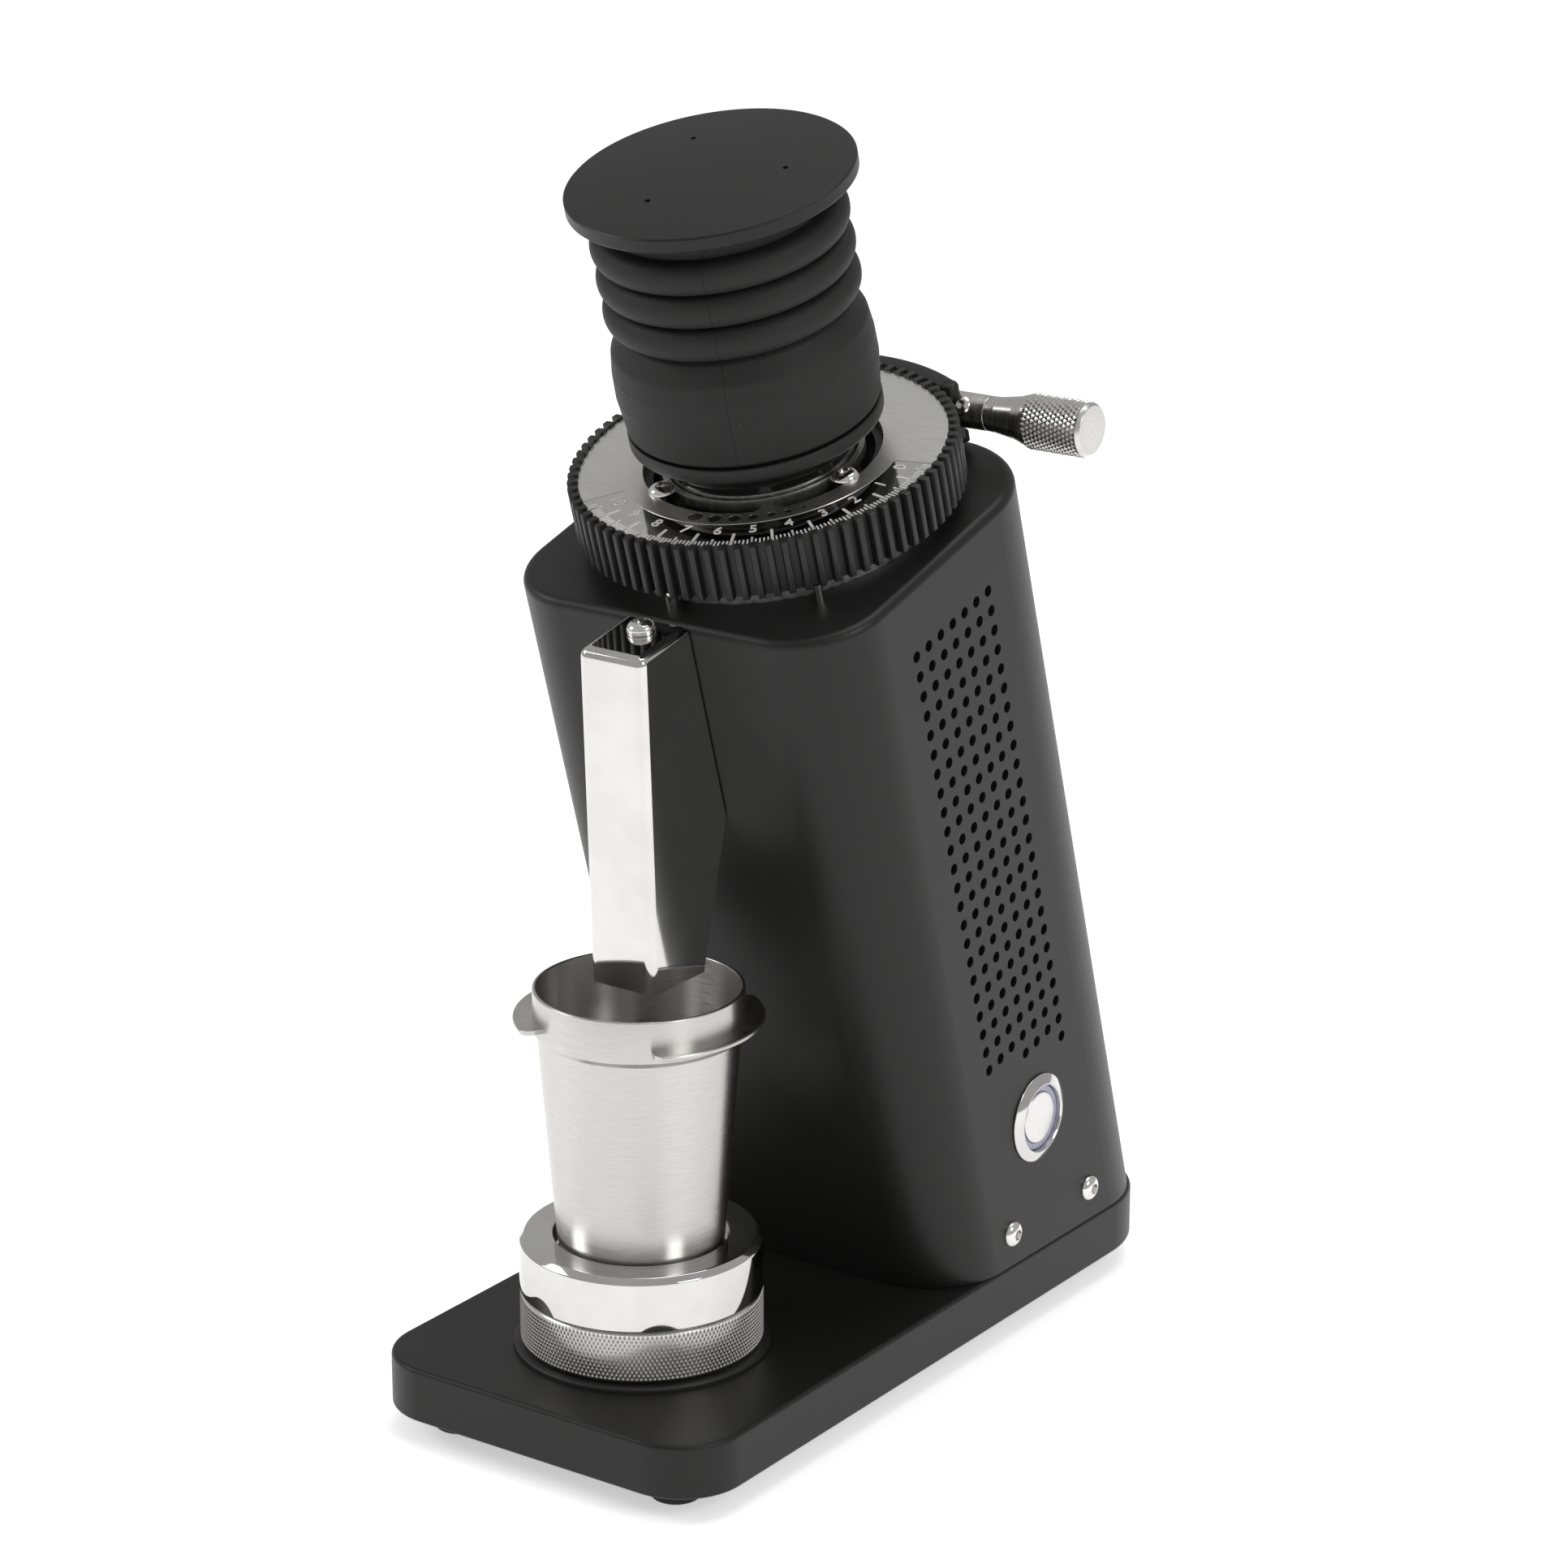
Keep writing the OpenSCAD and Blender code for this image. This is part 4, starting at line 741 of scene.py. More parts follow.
def buttonScrew(size, shank=2.0):
    # head up, seat at zero: a dome with a hexagon socket
    head, tall, key = screwSizes[size]
    dome = [(head * math.sin(t), tall * math.cos(t) ** 0.85) for t in np.linspace(0.0, math.pi / 2 - 0.12, 9)]
    outline = [(0, -shank), (head * 0.5, -shank), (head * 0.5, 0), (head - 0.15, 0, 0.1), (head, 0.2, 0.1)]
    screw = lathe("screw", outline + list(reversed(dome)), Matrix.Identity(4), sides=40)
    turns = [math.radians(60 * k + 30) for k in range(6)]
    socket = [(key * 1.1547 * math.cos(t), key * 1.1547 * math.sin(t)) for t in turns]
    return cut(screw, prism("socket", socket, tall - 1.5, tall + 2, Matrix.Identity(4)))


def screwRow(name, node, size, body, facingOf, place, slot="screw_steel"):
    # heads where the frame has them; the seat is found from the head's far end
    tall = screwSizes[size][1] * mm
    spots, facings = [], []
    for low, high in looseCentres(node, place):
        facing = facingOf((low + high) / 2)
        middle, half = (low + high) / 2, (high - low) / 2
        tip = middle + Vector((facing.x * half.x, facing.y * half.y, facing.z * half.z))
        spots.append(place @ (tip - facing * tall))
        facings.append(place.to_3x3() @ facing)
    keep(marked(name, buttonScrew(size), screwSteel, spots, facings), body, slot, node)


screwRow("shellScrews", "shell_screws", "m4", "housing",
         lambda middle: Vector((1 if middle.x > 0 else -1, 0, 0)), uprightPlace)
screwRow("dialScrews", "dial_screws", "m4", "dial", lambda middle: Vector((0, 0, 1)), leanPlace)
screwRow("inletScrews", "inlet_screws", "m3", "housing", lambda middle: Vector((0, 1, 0)), leanPlace)
print("screws ready")


# ---- chute

chuteLook = dict(mouthDepth=22.7, kinkHeight=191.3, frontLean=3.8, topSlope=11.5, edge=2.6, gap=0.4, wall=1.5)


def makeChute():
    low, high = (corner / mm for corner in spanOf("chute", uprightPlace))
    shell = [corner / mm for corner in spanOf("body_shell", leanPlace)]
    look = chuteLook
    slope = math.radians(look["topSlope"])
    turn = uprightPlace.inverted() @ leanPlace
    toUpright = lambda across, along: (turn @ (Vector((0, across, along)) * mm)) / mm
    back = shell[0].y - look["gap"]
    kink, roof = toUpright(back, look["kinkHeight"]), toUpright(back, shell[1].z)
    roofFront = roof.z - (roof.y - low.y) * math.tan(slope)
    foot = low.y + look["frontLean"]
    heel = foot + look["mouthDepth"]
    sideView = [(foot, low.z), (heel, low.z), (kink.y, kink.z), (roof.y, roof.z), (low.y, roofFront)]
    work = bmesh.new()
    half = high.x
    left = [work.verts.new((-half * mm, y * mm, z * mm)) for y, z in sideView]
    right = [work.verts.new((half * mm, y * mm, z * mm)) for y, z in sideView]
    for i in range(5):
        j = (i + 1) % 5
        work.faces.new((left[i], left[j], right[j], right[i]))
    work.faces.new(left)
    work.faces.new(list(reversed(right)))
    bmesh.ops.recalc_face_normals(work, faces=work.faces)
    # the front uprights and the edges of the roof are well rounded, its rear edge and the mouth are not
    ahead = lambda edge: all(vert.co.y < (foot + 0.1) * mm for vert in edge.verts)
    onRoof = lambda edge: all(vert.co.z > (kink.z + 5) * mm for vert in edge.verts)
    mouth = lambda edge: all(vert.co.z < (low.z + 0.1) * mm for vert in edge.verts)
    rear = lambda edge: all(vert.co.y > (roof.y - 0.1) * mm for vert in edge.verts)
    rounded = [edge for edge in work.edges
               if (ahead(edge) and not mouth(edge)) or (onRoof(edge) and not rear(edge))]
    bmesh.ops.bevel(work, geom=rounded, offset=look["edge"] * mm, segments=6, profile=0.5,
                    affect="EDGES", clamp_overlap=True)
    chute = fromBmesh("chute", work, uprightPlace, mirror, 25)
    wall = look["wall"]
    inside = [(foot + wall, low.z - 3), (heel - wall, low.z - 3), (heel - wall, low.z), (kink.y - wall, kink.z),
              (roof.y - wall, roof.z - 4.5), (low.y + wall + 0.3, roofFront - 3.5)]
    work = bmesh.new()
    rows = [[work.verts.new((x * mm, y * mm, z * mm)) for y, z in inside] for x in (wall - half, half - wall)]
    skin(work, rows, False)
    work.faces.new(rows[0])
    work.faces.new(list(reversed(rows[1])))
    cut(chute, fromBmesh("duct", work, uprightPlace), sharp=25)
    keep(evenShading(chute), "housing", "polished_steel", "chute")
    topPlace = axisPlace(uprightPlace @ (Vector((0, roof.y, roof.z)) * mm), (1, 0, 0),
                         (0, -math.sin(slope), math.cos(slope)))
    span = [corner / mm for corner in spanOf("chute_washer", topPlace)]
    middle = (span[0] + span[1]) / 2
    seat = topPlace @ Matrix.Translation(Vector((middle.x, middle.y, span[0].z)) * mm)
    wide, tall = (span[1].x - span[0].x) / 2, span[1].z - span[0].z
    washer = lathe("chuteWasher", [(2.2, 0), (wide, 0, 0.3), (wide, tall - 0.1, 0.3), (2.2, tall - 0.1)],
                   seat, screwSteel, sides=64)
    keep(washer, "housing", "screw_steel", "chute_washer")
    screwRow("chuteScrew", "chute_screw", "m4", "housing", lambda middle: Vector((0, 0, 1)), topPlace)


makeChute()
print("chute ready")


# ---- cup stand

standLook = dict(padSoft=1.0, chamfer=1.6, recess=23.85, recessDepth=3.0, knurlCount=168, knurlDepth=0.45)


def makeStand():
    look = standLook
    low, high = (corner / mm for corner in spanOf("stand_pad", standPlace))
    pad = lathe("standPad", [(20, low.z), (high.x, low.z), (high.x, high.z, look["padSoft"]), (20, high.z)],
                standPlace, ringBlack, sides=160)
    keep(pad, "housing", "black_polymer", "stand_pad")
    low, high = (corner / mm for corner in spanOf("knurled_ring", standPlace))
    outer = high.x
    core = outer - look["knurlDepth"]
    body = lathe("ringCore", [(18, low.z), (core - 1.2, low.z, 0.2), (core, low.z + 1.1, 0.3),
                              (core, high.z - 0.7, 0.2), (core - 0.7, high.z, 0.2), (30, high.z),
                              (30, low.z + 3), (18, low.z + 3)], standPlace, standSteel, sides=160)
    points = knurl("ringKnurl", standSteel, standPlace, outer, low.z + 0.4, high.z - 0.3, look["knurlCount"],
                   look["knurlDepth"])
    keep(merged("knurledRing", body, points), "stand_ring", "brushed_steel", "knurled_ring")
    skirt, high = (corner / mm for corner in spanOf("cup_platform", standPlace))
    top, under = high.z, low.z + 15
    hole, floor = look["recess"], high.z - look["recessDepth"]
    platform = lathe("cupPlatform", [
        (0, floor), (hole, floor), (hole, top, 0.35), (high.x - look["chamfer"], top, 0.9),
        (high.x, top - look["chamfer"], 0.9), (high.x, under + 0.5, 0.5), (high.x - 0.6, under + 0.12, 0.1),
        (29, under + 0.12), (29, skirt.z), (24, skirt.z), (24, under - 1), (0, under - 1)],
        standPlace, mirror, sides=192, steps=5)
    keep(platform, "platform", "polished_steel", "cup_platform")


makeStand()
print("stand ready")


# ---- dosing cup

cupLook = dict(band=12.0, rim=28.4, shoulder=27.3, foot=22.6, wall=1.0, turn=7.6, earReach=5.3, earHalf=54.0,
               earDrop=7.8, earThick=1.3)


def makeCup():
    look = cupLook
    low, high = (corner / mm for corner in spanOf("dosing_cup", standPlace))
    base, top = low.z, high.z
    band = top - look["band"]
    rim, shoulder, wall = look["rim"], look["shoulder"], look["wall"]
    cup = lathe("cup", [
        (0, base + 0.5), (look["foot"] - 3, base + 0.5), (look["foot"] - 2.2, base, 0.5), (look["foot"] - 0.6, base, 1.1),
        (look["foot"] + 0.1, base + 2.2, 2), (shoulder, band - 1, 1.2), (rim, band + 0.5, 1.0), (rim, top, 0.4),
        (rim - wall, top, 0.4), (look["foot"] - wall, base + 3, 2), (look["foot"] - 4, base + 1.5, 1),
        (0, base + 1.5)],
        standPlace, cupSteel, sides=192, steps=5)
    earTop = top - look["earDrop"]
    section = [(rim - wall / 2, earTop - look["earThick"]), (rim + look["earReach"], earTop - look["earThick"], 0.5),
               (rim + look["earReach"], earTop, 0.5), (rim - wall / 2, earTop)]
    ears = []
    for side in (0, 180):
        middle = side + look["turn"]
        ear = arcBar("ear", section, middle - look["earHalf"], middle + look["earHalf"], standPlace, cupSteel, 48)
        # the outer corners of each ear are cut round
        for end in (-1, 1):
            turn = math.radians(middle + end * look["earHalf"])
            out = Vector((math.cos(turn), math.sin(turn), 0))
            along = Vector((-math.sin(turn), math.cos(turn), 0)) * end
            corner = out * (rim + look["earReach"]) + Vector((0, 0, earTop))
            points = []
            reach = 3.4
            for k in range(9):
                t = math.pi / 2 * k / 8
                points.append(corner - out * reach * (1 - math.sin(t)) - along * reach * (1 - math.cos(t)))
            points = [corner + along * 2 - out * reach, corner + along * 2 + out * 2, corner + out * 2 - along * reach] \
                + list(reversed(points))
            work = bmesh.new()
            rows = [[work.verts.new((p.x * mm, p.y * mm, z * mm)) for p in points] for z in (earTop - 4, earTop + 4)]
            skin(work, rows, False)
            work.faces.new(rows[0])
            work.faces.new(list(reversed(rows[1])))
            cut(ear, fromBmesh("corner", work, standPlace))
        ears.append(ear)
    keep(merged("dosingCup", cup, *ears), "cup", "brushed_steel", "dosing_cup")


makeCup()
print("cup ready")


# ---- dial ring and numbered disc

ringLook = dict(ribs=80, ribDepth=2.4, ribShare=0.5, edge=0.45)
discLook = dict(slotCircle=30.0, slotWidth=5.0, slotSweep=114.0, slotMiddle=6.5, bandInner=38.2, bandStart=-131.0,
                bandEnd=10.4, bandDepth=0.14, bore=25.8, digitCircle=41.5, digitHeight=3.7, zeroAngle=6.1,
                digitStep=-13.05, tickInner=47.0, tickOuter=49.4, dotCircle=35.1)


def ribPiece(depth, width, tall, edge):
    # an upright rib, X outwards, its ends and outer edges eased
    work = bmesh.new()
    bmesh.ops.create_cube(work, size=1.0)
    for vert in work.verts:
        x, y, z = vert.co
        narrow = 0.86 if x > 0 else 1.0
        vert.co = (((x + 0.5) * (depth + 0.6) - 0.6) * mm, y * width * narrow * mm, (z + 0.5) * tall * mm)
    outer = [edge2 for edge2 in work.edges if all(v.co.x > 0 for v in edge2.verts)]
    bmesh.ops.bevel(work, geom=outer, offset=edge * mm, segments=2, profile=0.5, affect="EDGES")
    return fromBmesh("rib", work)


def makeDialRing():
    low, high = (corner / mm for corner in spanOf("adjusting_ring", leanPlace))
    outer, base, top = high.x, low.z, high.z
    look = ringLook
    root = outer - look["ribDepth"]
    discLow = spanOf("dial_disc", leanPlace)[0].z / mm
    core = lathe("ringCore", [(45.05, base), (root, base), (root, top - 0.5, 0.3),
                              (root - 0.35, top, 0.15), (root - 0.25, discLow), (30, discLow), (30, discLow - 4),
                              (45.05, discLow - 4)], leanPlace, ringBlack, sides=160)
    width = 2 * math.pi * outer / look["ribs"] * look["ribShare"]
    rib = ribPiece(look["ribDepth"], width, top - base, look["edge"])
    ribs = ring("ribs", rib, ringBlack, leanPlace, look["ribs"], root, low=base)
    keep(merged("adjustingRing", core, ribs), "dial", "black_polymer", "adjusting_ring")


def tickPiece(inner, outer, width, depth):
    work = bmesh.new()
    bmesh.ops.create_cube(work, size=1.0)
    for vert in work.verts:
        x, y, z = vert.co
        vert.co = (((x + 0.5) * (outer - inner) + inner) * mm, y * width * mm, (z - 0.5) * depth * mm)
    return fromBmesh("tick", work)


def makeDisc():
    low, high = (corner / mm for corner in spanOf("dial_disc", leanPlace))
    look = discLook
    outer, base, top = high.x, low.z, high.z
    disc = lathe("dialDisc", [(look["bore"], base), (outer, base), (outer, top, 0.25), (look["bore"], top, 0.3)],
                 leanPlace, discSteel, sides=192)
    half = look["slotWidth"] / 2
    for k in range(3):
        middle = look["slotMiddle"] + 120 * k
        sweep = look["slotSweep"] / 2 - math.degrees(half / look["slotCircle"])
        section = [(look["slotCircle"] - half, base - 1), (look["slotCircle"] + half, base - 1),
                   (look["slotCircle"] + half, top + 1), (look["slotCircle"] - half, top + 1)]
        slot = arcBar("slot", section, middle - sweep, middle + sweep, leanPlace)
        ends = []
        for end in (-1, 1):
            t = math.radians(middle + end * sweep)
            spot = Vector((look["slotCircle"] * math.cos(t), look["slotCircle"] * math.sin(t), 0))
            ends.append(localRod("slotEnd", leanPlace, half, spot + Vector((0, 0, base - 0.9)),
                                 spot + Vector((0, 0, top + 0.9)), 24))
        cut(disc, slot, *ends)
    floor = top - look["bandDepth"]
    bandOuter = look["tickOuter"] + 0.1
    section = [(look["bandInner"], floor), (bandOuter, floor), (bandOuter, top + 1), (look["bandInner"], top + 1)]
    cut(disc, arcBar("bandCut", section, look["bandStart"], look["bandEnd"], leanPlace, sides=96))
    section = [(look["bandInner"], floor - 0.2), (bandOuter, floor - 0.2), (bandOuter, floor + 0.02),
               (look["bandInner"], floor + 0.02)]
    mirrors = [arcBar("band", section, look["bandStart"], look["bandEnd"], leanPlace, mirror, sides=96)]
    dots = []
    for i in range(7):
        t = math.radians(-86.2 + 9.7 * i - 0.28 * i * i)
        spot = Vector((look["dotCircle"] * math.cos(t), look["dotCircle"] * math.sin(t), 0))
        radius = 2.05 - 0.21 * i
        cut(disc, localRod("dotCut", leanPlace, radius, spot + Vector((0, 0, floor)),
                           spot + Vector((0, 0, top + 1))))
        dots.append(localRod("dot", leanPlace, radius, spot + Vector((0, 0, floor - 0.2)),
                             spot + Vector((0, 0, floor + 0.02)), material=blackGloss))
    keep(evenShading(disc), "dial", "satin_disc", "dial_disc")
    keep(merged("dialMirrors", *mirrors), "dial", "polished_steel")
    keep(merged("dialDots", *dots), "dial", "black_anodised")
    zero, step = look["zeroAngle"], look["digitStep"]
    depth = look["bandDepth"] + 0.05
    marks = [ring("fineTicks", tickPiece(look["tickInner"], bandOuter + 0.1, 0.42, depth), scaleSteel, leanPlace, 105,
                  0, zero - step * 0.2, step / 10, low=top),
             ring("digitTicks", tickPiece(45.9, bandOuter + 0.1, 0.5, depth), scaleSteel, leanPlace, 11, 0, zero, step,
                  low=top),
             ring("longTicks", tickPiece(43.2, bandOuter + 0.1, 0.75, depth), scaleSteel, leanPlace, 10, 0,
                  zero + step / 2, step, low=top)]
    for number in range(11):
        words = bpy.data.curves.new("number", "FONT")
        words.body = str(number)
        words.size = look["digitHeight"] * 1.38 * mm
        words.align_x = "CENTER"
        words.align_y = "CENTER"
        words.extrude = depth / 2 * mm
        words.resolution_u = 4
        text = bpy.data.objects.new("number", words)
        bpy.context.scene.collection.objects.link(text)
        bpy.context.view_layer.update()
        mesh = bpy.data.meshes.new_from_object(text)
        bpy.data.objects.remove(text)
        t = math.radians(zero + step * number)
        out = Vector((math.cos(t), math.sin(t), 0))
        place = axisPlace(out * look["digitCircle"] * mm + Vector((0, 0, (top - depth / 2) * mm)),
                          (-math.sin(t), math.cos(t), 0), (0, 0, 1))
        mesh.transform(leanPlace @ place)
        marks.append(toObject("number", mesh, scaleSteel))
    keep(merged("dialScale", *marks), "dial", "satin_disc")


makeDialRing()
makeDisc()
print("dial ready")


# ---- lever

leverLook = dict(armStart=59.0, armEnd=128.0, armEdge=1.3, knurlCount=34, knurlDepth=0.42, screwAlong=5.4)


def makeLever():
    look = leverLook
    low, high = (corner / mm for corner in spanOf("lever_arm", leanPlace))
    ringHigh = spanOf("adjusting_ring", leanPlace)[1] / mm
    inner = ringHigh.x + 1
    outer = 59.4
    edge = look["armEdge"]
    band = arcBar("band", [(inner, low.z + 0.5), (outer, low.z + 0.5, edge), (outer, high.z, edge * 1.4),
                           (inner, high.z, 0.5)], look["armStart"] + 2.2, look["armEnd"], leanPlace, blackShell,
                  48, 5)
    socket = [corner / mm for corner in spanOf("lever_socket", leanPlace)]
    middle = (socket[0] + socket[1]) / 2
    radius = (socket[1].z - socket[0].z) / 2
    # the arm's end is rounded over the socket
    t = math.radians(look["armStart"] + 2.2)
    halfWide = (outer - inner) / 2
    centre = Vector(((inner + halfWide) * math.cos(t), (inner + halfWide) * math.sin(t), 0))
    tipPlace = leanPlace @ Matrix.Translation(centre * mm)
    tip = lathe("tip", [(0, low.z + 0.5), (halfWide, low.z + 0.5, edge), (halfWide, high.z, edge * 1.4), (0, high.z)],
                tipPlace, blackShell, sides=48, steps=5)
    for piece in (band, tip):
        cut(piece, localRod("bore", leanPlace, radius + 0.12, (socket[0].x + 2.4, middle.y, middle.z),
                            (socket[0].x + 30, middle.y, middle.z), 48))
    ringLow = spanOf("adjusting_ring", leanPlace)[0] / mm
    plate = arcBar("plate", [(45.6, low.z, 0.3), (outer, low.z, 0.5), (outer, ringLow.z - 0.4, 0.4),
                             (45.6, ringLow.z - 0.4, 0.3)], look["armStart"], look["armEnd"], leanPlace,
                   blackShell, 48)
    keep(merged("leverArm", band, tip, plate), "dial", "black_anodised", "lever_arm")
    gripLow, gripHigh = (corner / mm for corner in spanOf("lever_grip", leanPlace))
    axle = axisPlace(leanPlace @ (Vector((0, middle.y, middle.z)) * mm), leanPlace.to_3x3() @ Vector((0, 1, 0)),
                     leanPlace.to_3x3() @ Vector((1, 0, 0)))
    leverSteel = turnedSteel("turnedLeverSteel", axle, (0.2, 0.32), 2200, 0.03)
    start, end = socket[0].x + 2.4, socket[1].x
    sleeve = lathe("leverSocket", [(0, start), (radius, start, 0.3), (radius, end - 0.05, 0.2), (0, end - 0.05)],
                   axle, leverSteel, sides=96)
    along = start + look["screwAlong"]
    head = Vector((0, 0, 0))
    for low2, high2 in looseCentres("lever_grub_screw", leanPlace):
        head = ((low2 + high2) / 2) / mm - Vector((along, middle.y, middle.z))
    outward = (leanPlace.to_3x3() @ head.normalized())
    seat = leanPlace @ (Vector((along, middle.y, middle.z)) * mm) + outward * (radius - 0.75) * mm
    pocket = rod("pocket", 2.55 * mm, seat, seat + outward * 4 * mm, 40)
    cut(sleeve, pocket)
    keep(sleeve, "dial", "brushed_steel", "lever_socket")
    grub = marked("leverGrubScrew", buttonScrew("m3", 0.5), screwSteel, [seat], [outward])
    keep(grub, "dial", "screw_steel", "lever_grub_screw")
    wide = (gripHigh.z - gripLow.z) / 2
    reach = gripHigh.x
    gripStart = reach - 19.5
    core = wide - look["knurlDepth"]
    grip = lathe("gripCore", [
        (0, end + 0.1), (radius, end + 0.1, 0.25), (radius + 0.15, end + 3, 4), (radius + 1.2, gripStart - 3.2, 6),
        (core - 0.2, gripStart + 0.2, 0.6), (core, gripStart + 1.2, 0.5), (core, reach - 1.0, 0.4),
        (core - 0.7, reach, 0.3), (0, reach)], axle, leverSteel, sides=96, steps=8)
    points = knurl("gripKnurl", leverSteel, axle, wide, gripStart + 0.3, reach - 0.5, look["knurlCount"],
                   look["knurlDepth"])
    keep(merged("leverGrip", grip, points), "dial", "brushed_steel", "lever_grip")


makeLever()
print("lever ready")


# ---- hopper, bellows and lid

bellowsLook = dict(cuffTop=26.0, pitch=9.4, waves=3, depth=4.7, wall=2.0, crest=34.3, seamAngle=-62.0, seamWide=0.28)


def makeHopper():
    low, high = (corner / mm for corner in spanOf("hopper_neck", leanPlace))
    foot = 25.7
    neck = lathe("hopperNeck", [
        (16, low.z), (foot - 0.5, low.z, 0.2), (foot, low.z + 0.6, 0.3), (foot + 0.1, high.z - 4.6, 3),
        (high.x - 1.6, high.z - 1.4, 2.2), (high.x, high.z - 0.2, 0.3), (16, high.z - 0.2)],
        leanPlace, blackGloss, sides=160, steps=8)
    keep(neck, "hopper", "black_polished", "hopper_neck")
    low, high = (corner / mm for corner in spanOf("hopper_flange", leanPlace))
    flangeTop = low.z + 5.2
    wide = high.x
    flange = lathe("hopperFlange", [
        (16, low.z), (wide - 2.2, low.z, 0.8), (wide, low.z + 1.4, 1.4), (wide, flangeTop, 0.5), (31, flangeTop, 0.3),
        (31, high.z, 0.3), (28.5, high.z, 0.3), (28.5, low.z + 15, 1), (16, low.z + 3, 1)],
        leanPlace, blackShell, sides=160, steps=5)
    keep(flange, "hopper", "black_anodised", "hopper_flange")


def bellowsOutline(low, tall, edge):
    # outer half of the section, from the cuff's lower edge up
    look = bellowsLook
    valley = look["crest"] - look["depth"]
    waveLow = look["cuffTop"] + 4
    outline = [(edge - 0.9, low, 0), (edge, low + 0.9, 0.6), (edge + 1.15, low + 11, 4), (edge + 1.0, low + 17.5, 2),
               (edge + 0.2, low + look["cuffTop"] - 2.5, 4), (valley + 1.6, low + waveLow - 1.4, 2.2)]
    path = softPath([(edge - 6, low), *outline, (valley, low + waveLow)], 8, closed=False)[1:]
    for wave in range(look["waves"]):
        base = low + waveLow + wave * look["pitch"]
        for k in range(1, 25):
            t = math.pi * k / 25
            # a full round crest over a narrow, soft valley
            path.append((valley + look["depth"] * math.sin(t) ** 0.8,
                         base + look["pitch"] * (0.5 - 0.49 * math.cos(t))))
        path.append((valley - 0.15, base + look["pitch"]))
    path.append((valley, low + tall))
    return path


def makeBellows():
    look = bellowsLook
    low, high = (corner / mm for corner in spanOf("bellows", leanPlace))
    edge = 34.1
    outline = bellowsOutline(low.z, high.z - low.z, edge)
    inside = [(max(radius - look["wall"], 27.4), height) for radius, height in reversed(outline)]
    bellows = lathe("bellows", outline + inside, leanPlace, rubber, sides=160, steps=1, sharp=50)
    # the mould line runs down the outside
    t = math.radians(look["seamAngle"])
    across = Vector((-math.sin(t), math.cos(t), 0)) * look["seamWide"] / 2
    work = bmesh.new()
    rows = []
    for radius, height in outline:
        out = Vector((math.cos(t) * (radius - 0.2), math.sin(t) * (radius - 0.2), height))
        tip = Vector((math.cos(t) * (radius + 0.1), math.sin(t) * (radius + 0.1), height))
        rows.append([work.verts.new(spot * mm) for spot in (out - across, out + across, tip)])
    skin(work, rows, False)
    work.faces.new(rows[0])
    work.faces.new(list(reversed(rows[-1])))
    line = fromBmesh("mouldLine", work, leanPlace, rubber)
    whole = merged("bellows", bellows, line)
    keep(whole, "hopper", "rubber", "bellows")
    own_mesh(whole)


def makeLid():
    low, high = (corner / mm for corner in spanOf("bellows_lid", leanPlace))
    wide = high.x
    base = spanOf("bellows", leanPlace)[1].z / mm
    edgeTop = base + 4.0
    dome = [(wide * k / 14, edgeTop + (high.z - edgeTop) * (1 - (k / 14) ** 2)) for k in range(1, 14)]
    lid = lathe("bellowsLid", [
        (0, low.z + 1), (26, low.z + 1), (26, low.z), (26.8, low.z), (26.8, base), (wide - 0.5, base, 0.3),
        (wide, base + 0.5, 0.3), (wide, edgeTop - 0.4, 0.15), (wide - 0.5, edgeTop + 0.05, 0.15), *reversed(dome),
        (0, high.z)],
        leanPlace, blackShell, sides=192, steps=5)
    drills = []
    for angle in (16, 136, 256):
        t = math.radians(angle)
        drills.append(localRod("lidHole", leanPlace, 0.8, (21 * math.cos(t), 21 * math.sin(t), base + 1.5),
                               (21 * math.cos(t), 21 * math.sin(t), base + 9), 20))
    cut(lid, *drills)
    keep(evenShading(lid), "lid", "black_anodised", "bellows_lid")


makeHopper()
makeBellows()
makeLid()
print("hopper ready")


# ---- push button

buttonLook = dict(bezel=12.8, ridge=9.9, ridgeTall=2.0, ringRadius=9.1, capRadius=7.4)


def makeButton():
    look = buttonLook
    span = [corner / mm for corner in spanOf("button_bezel", leanPlace)]
    middle = (span[0] + span[1]) / 2
    wall = spanOf("body_shell", leanPlace)[1].x / mm
    place = axisPlace(leanPlace @ (Vector((wall, middle.y, middle.z)) * mm), leanPlace.to_3x3() @ Vector((0, 1, 0)),
                      (1, 0, 0))
    bezel = lathe("buttonBezel", [
        (look["ringRadius"] + 0.35, -2.4), (10.9, -2.4), (10.9, 0), (look["bezel"], 0, 0.15),
        (look["bezel"], 0.55, 0.2), (look["ridge"], look["ridgeTall"], 0.3),
        (look["ringRadius"] + 0.35, look["ridgeTall"] - 0.5, 0.2)], place, mirror, sides=128)
    keep(bezel, "housing", "polished_steel", "button_bezel")
    glow = lathe("buttonLightRing", [
        (look["capRadius"] + 0.12, -4), (look["ringRadius"] + 0.3, -4), (look["ringRadius"] + 0.3, 0.5, 0.3),
        (look["capRadius"] + 0.12, 0.25, 0.15)], place, lightRing, sides=96)
    keep(glow, "housing", "light_ring", "button_light_ring")
    cap = lathe("buttonCap", [
        (0, -4), (look["capRadius"], -4), (look["capRadius"], 0.75, 0.4), (0, 0.85)], place, buttonFace, sides=96)
    keep(cap, "button", "brushed_steel", "button_cap")


makeButton()
print("button ready")


# ---- finishes for the pieces that keep their frame shape

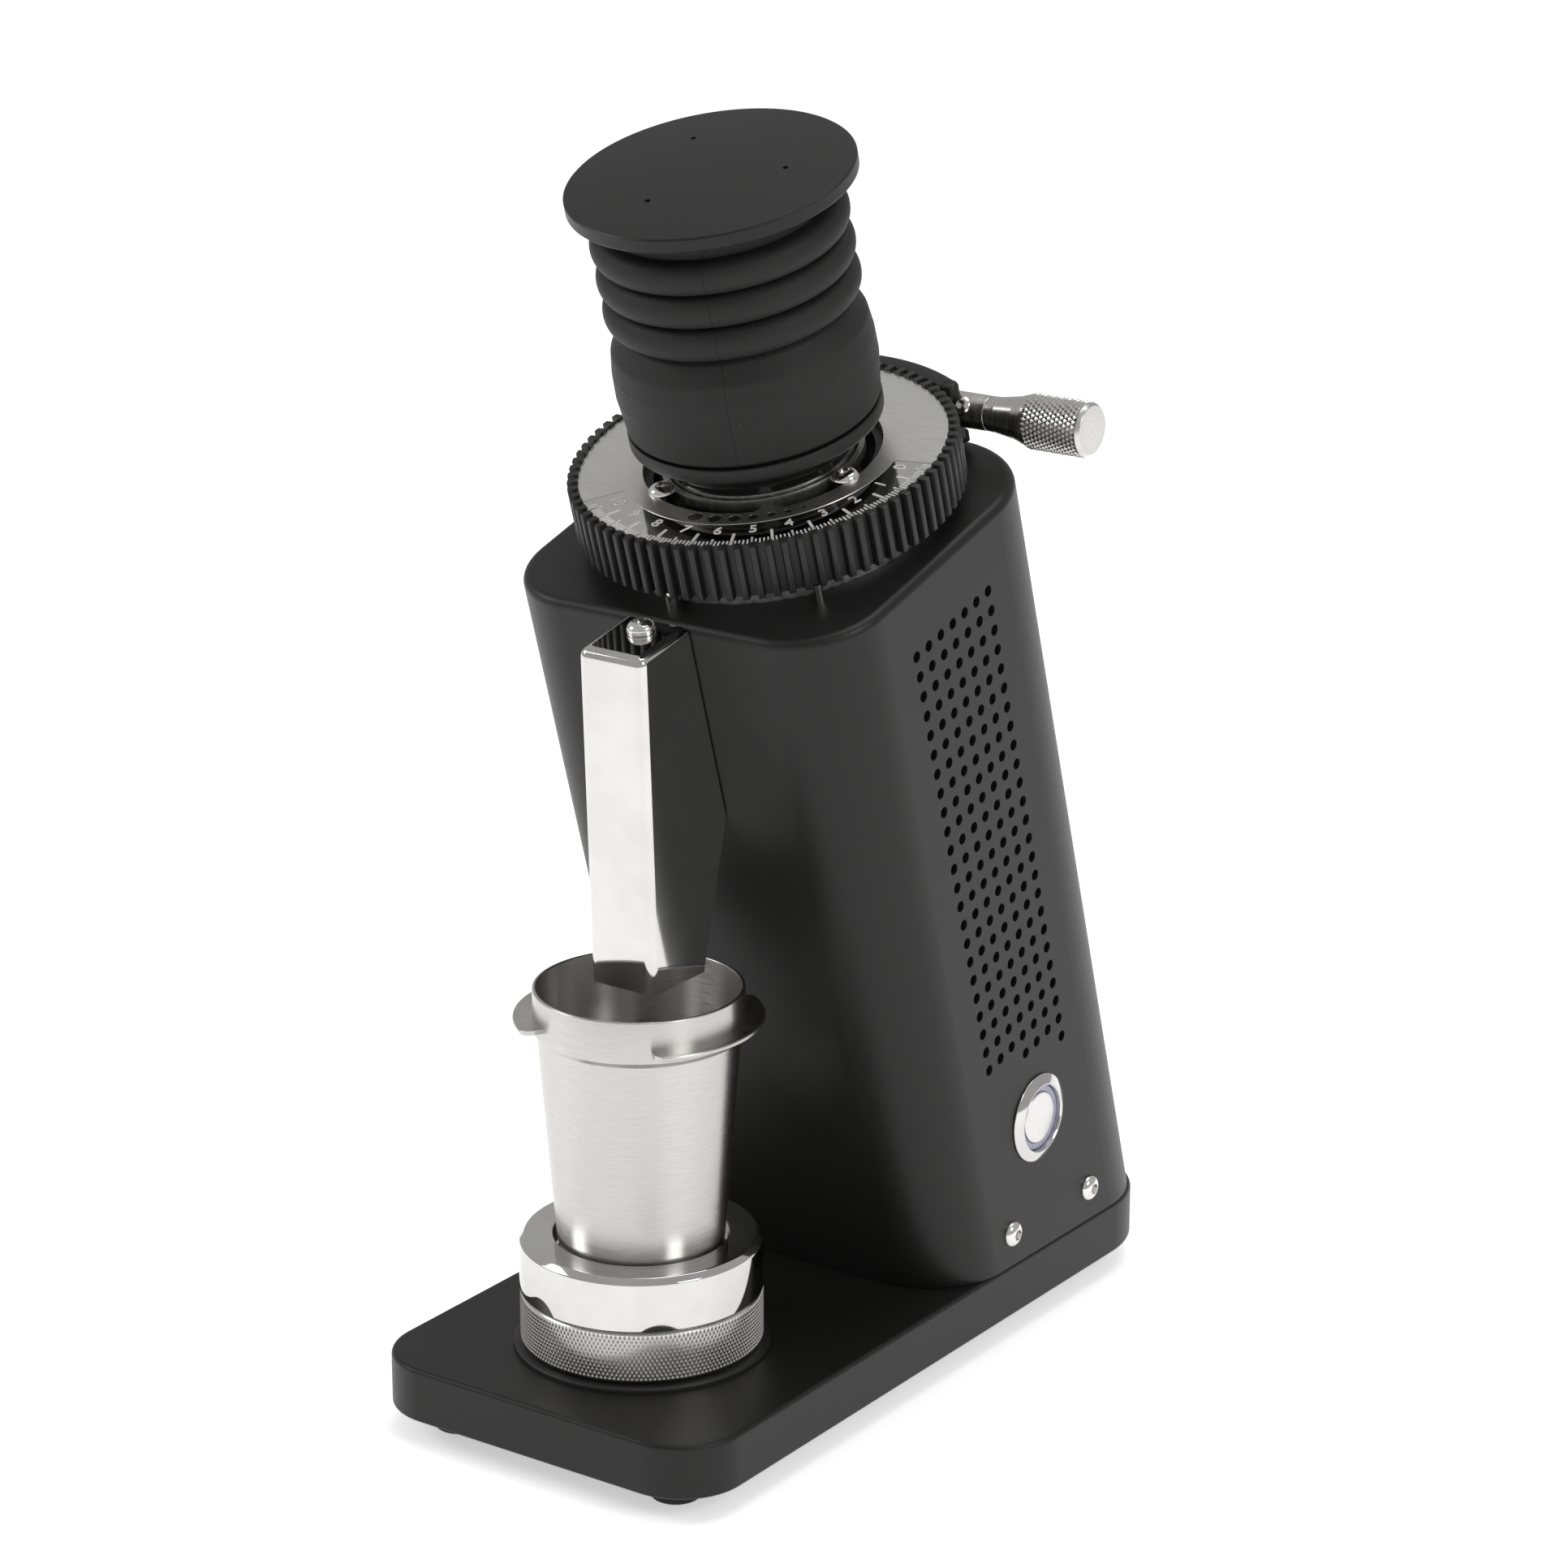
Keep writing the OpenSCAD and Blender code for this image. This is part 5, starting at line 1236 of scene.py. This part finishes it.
frameFinishes = {
    ringBlack: ["power_inlet", "grounds_outlet"], rubber: ["declumper_flap", "shaft_seal"],
    screwSteel: ["foot_screws", "bracket_screws", "chamber_screws", "motor_screws", "lever_arm_screws",
                 "upper_burr_screws", "lower_burr_screws", "carrier_keys", "stop_pins", "detent_plunger",
                 "button_nut", "button_spring", "stand_post", "motor_shaft", "bean_auger"],
    castAluminium: ["chamber_housing", "chute_hanger", "shell_brackets", "motor_end_cap", "upper_carrier",
                    "lower_carrier"],
    motorSteel: ["motor_can", "motor_rotor", "spindle_bearings"],
    windingCopper: ["motor_stator", "board_spacers"], burrSteel: ["upper_burr", "lower_burr"],
    boardGreen: ["control_board"], wireRed: ["wiring"],
}
for material, names in frameFinishes.items():
    for name in names:
        mesh = frame["nodes"][name].data
        mesh.materials.clear()
        mesh.materials.append(material)
print("finishes ready")


# ---- floor, lights and camera

studio = dict(azimuth=35.26, elevation=18.15, distance=1.3159, lens=110.3, aimHeight=0.1633, sky=0.46,
              floorGlow=0.5)
# place, width and power of each soft box
softBoxes = dict(keyBox=((-1.5, -0.9, 1.2), 0.7, 9), sideBox=((1.8, -0.2, 1.3), 0.7, 10),
                 topBox=((0.1, 0.4, 2.0), 1.2, 12))


def makeStudio():
    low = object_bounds()[0]
    work = bmesh.new()
    bmesh.ops.create_grid(work, x_segments=1, y_segments=1, size=6)
    ground = fromBmesh("floor", work, Matrix.Translation((0, 0, low.z - 0.0001)))
    paper = plainGrain("floorPaper", ((0.93, 0.93, 0.93), (0.94, 0.94, 0.94)), (0.7, 0.8), 0.0, 300, 0.02)
    # the floor glows a little, so it stays white under soft lamps
    paperShader = paper.node_tree.nodes["Principled BSDF"]
    paperShader.inputs["Emission Color"].default_value = (1, 1, 1, 1)
    paperShader.inputs["Emission Strength"].default_value = studio["floorGlow"]
    ground.data.materials.append(paper)
    world = bpy.data.worlds.new("studio")
    bpy.context.scene.world = world
    world.use_nodes = True
    world.node_tree.nodes["Background"].inputs["Color"].default_value = (1, 1, 1, 1)
    world.node_tree.nodes["Background"].inputs["Strength"].default_value = studio["sky"]
    middle = Vector((uprightPlace.translation.x, 0, 0.16))
    for name, (spot, size, power) in softBoxes.items():
        lamp = bpy.data.lights.new(name, "AREA")
        lamp.size = size
        lamp.energy = power
        holder = bpy.data.objects.new(name, lamp)
        holder.location = spot
        holder.rotation_euler = (middle - Vector(spot)).to_track_quat("-Z", "Y").to_euler()
        bpy.context.scene.collection.objects.link(holder)
    lens = bpy.data.cameras.new("camera")
    lens.lens = studio["lens"]
    lens.sensor_width = 36
    camera = bpy.data.objects.new("camera", lens)
    a, e = math.radians(studio["azimuth"]), math.radians(studio["elevation"])
    back = Vector((math.sin(a) * math.cos(e), -math.cos(a) * math.cos(e), math.sin(e)))
    aim = Vector((uprightPlace.translation.x - 0.0002, 0, studio["aimHeight"]))
    camera.location = aim + back * studio["distance"]
    camera.rotation_euler = (-back).to_track_quat("-Z", "Y").to_euler()
    bpy.context.scene.collection.objects.link(camera)
    bpy.context.scene.camera = camera
    bpy.context.scene.view_settings.view_transform = "Standard"


makeStudio()
print("scene ready")
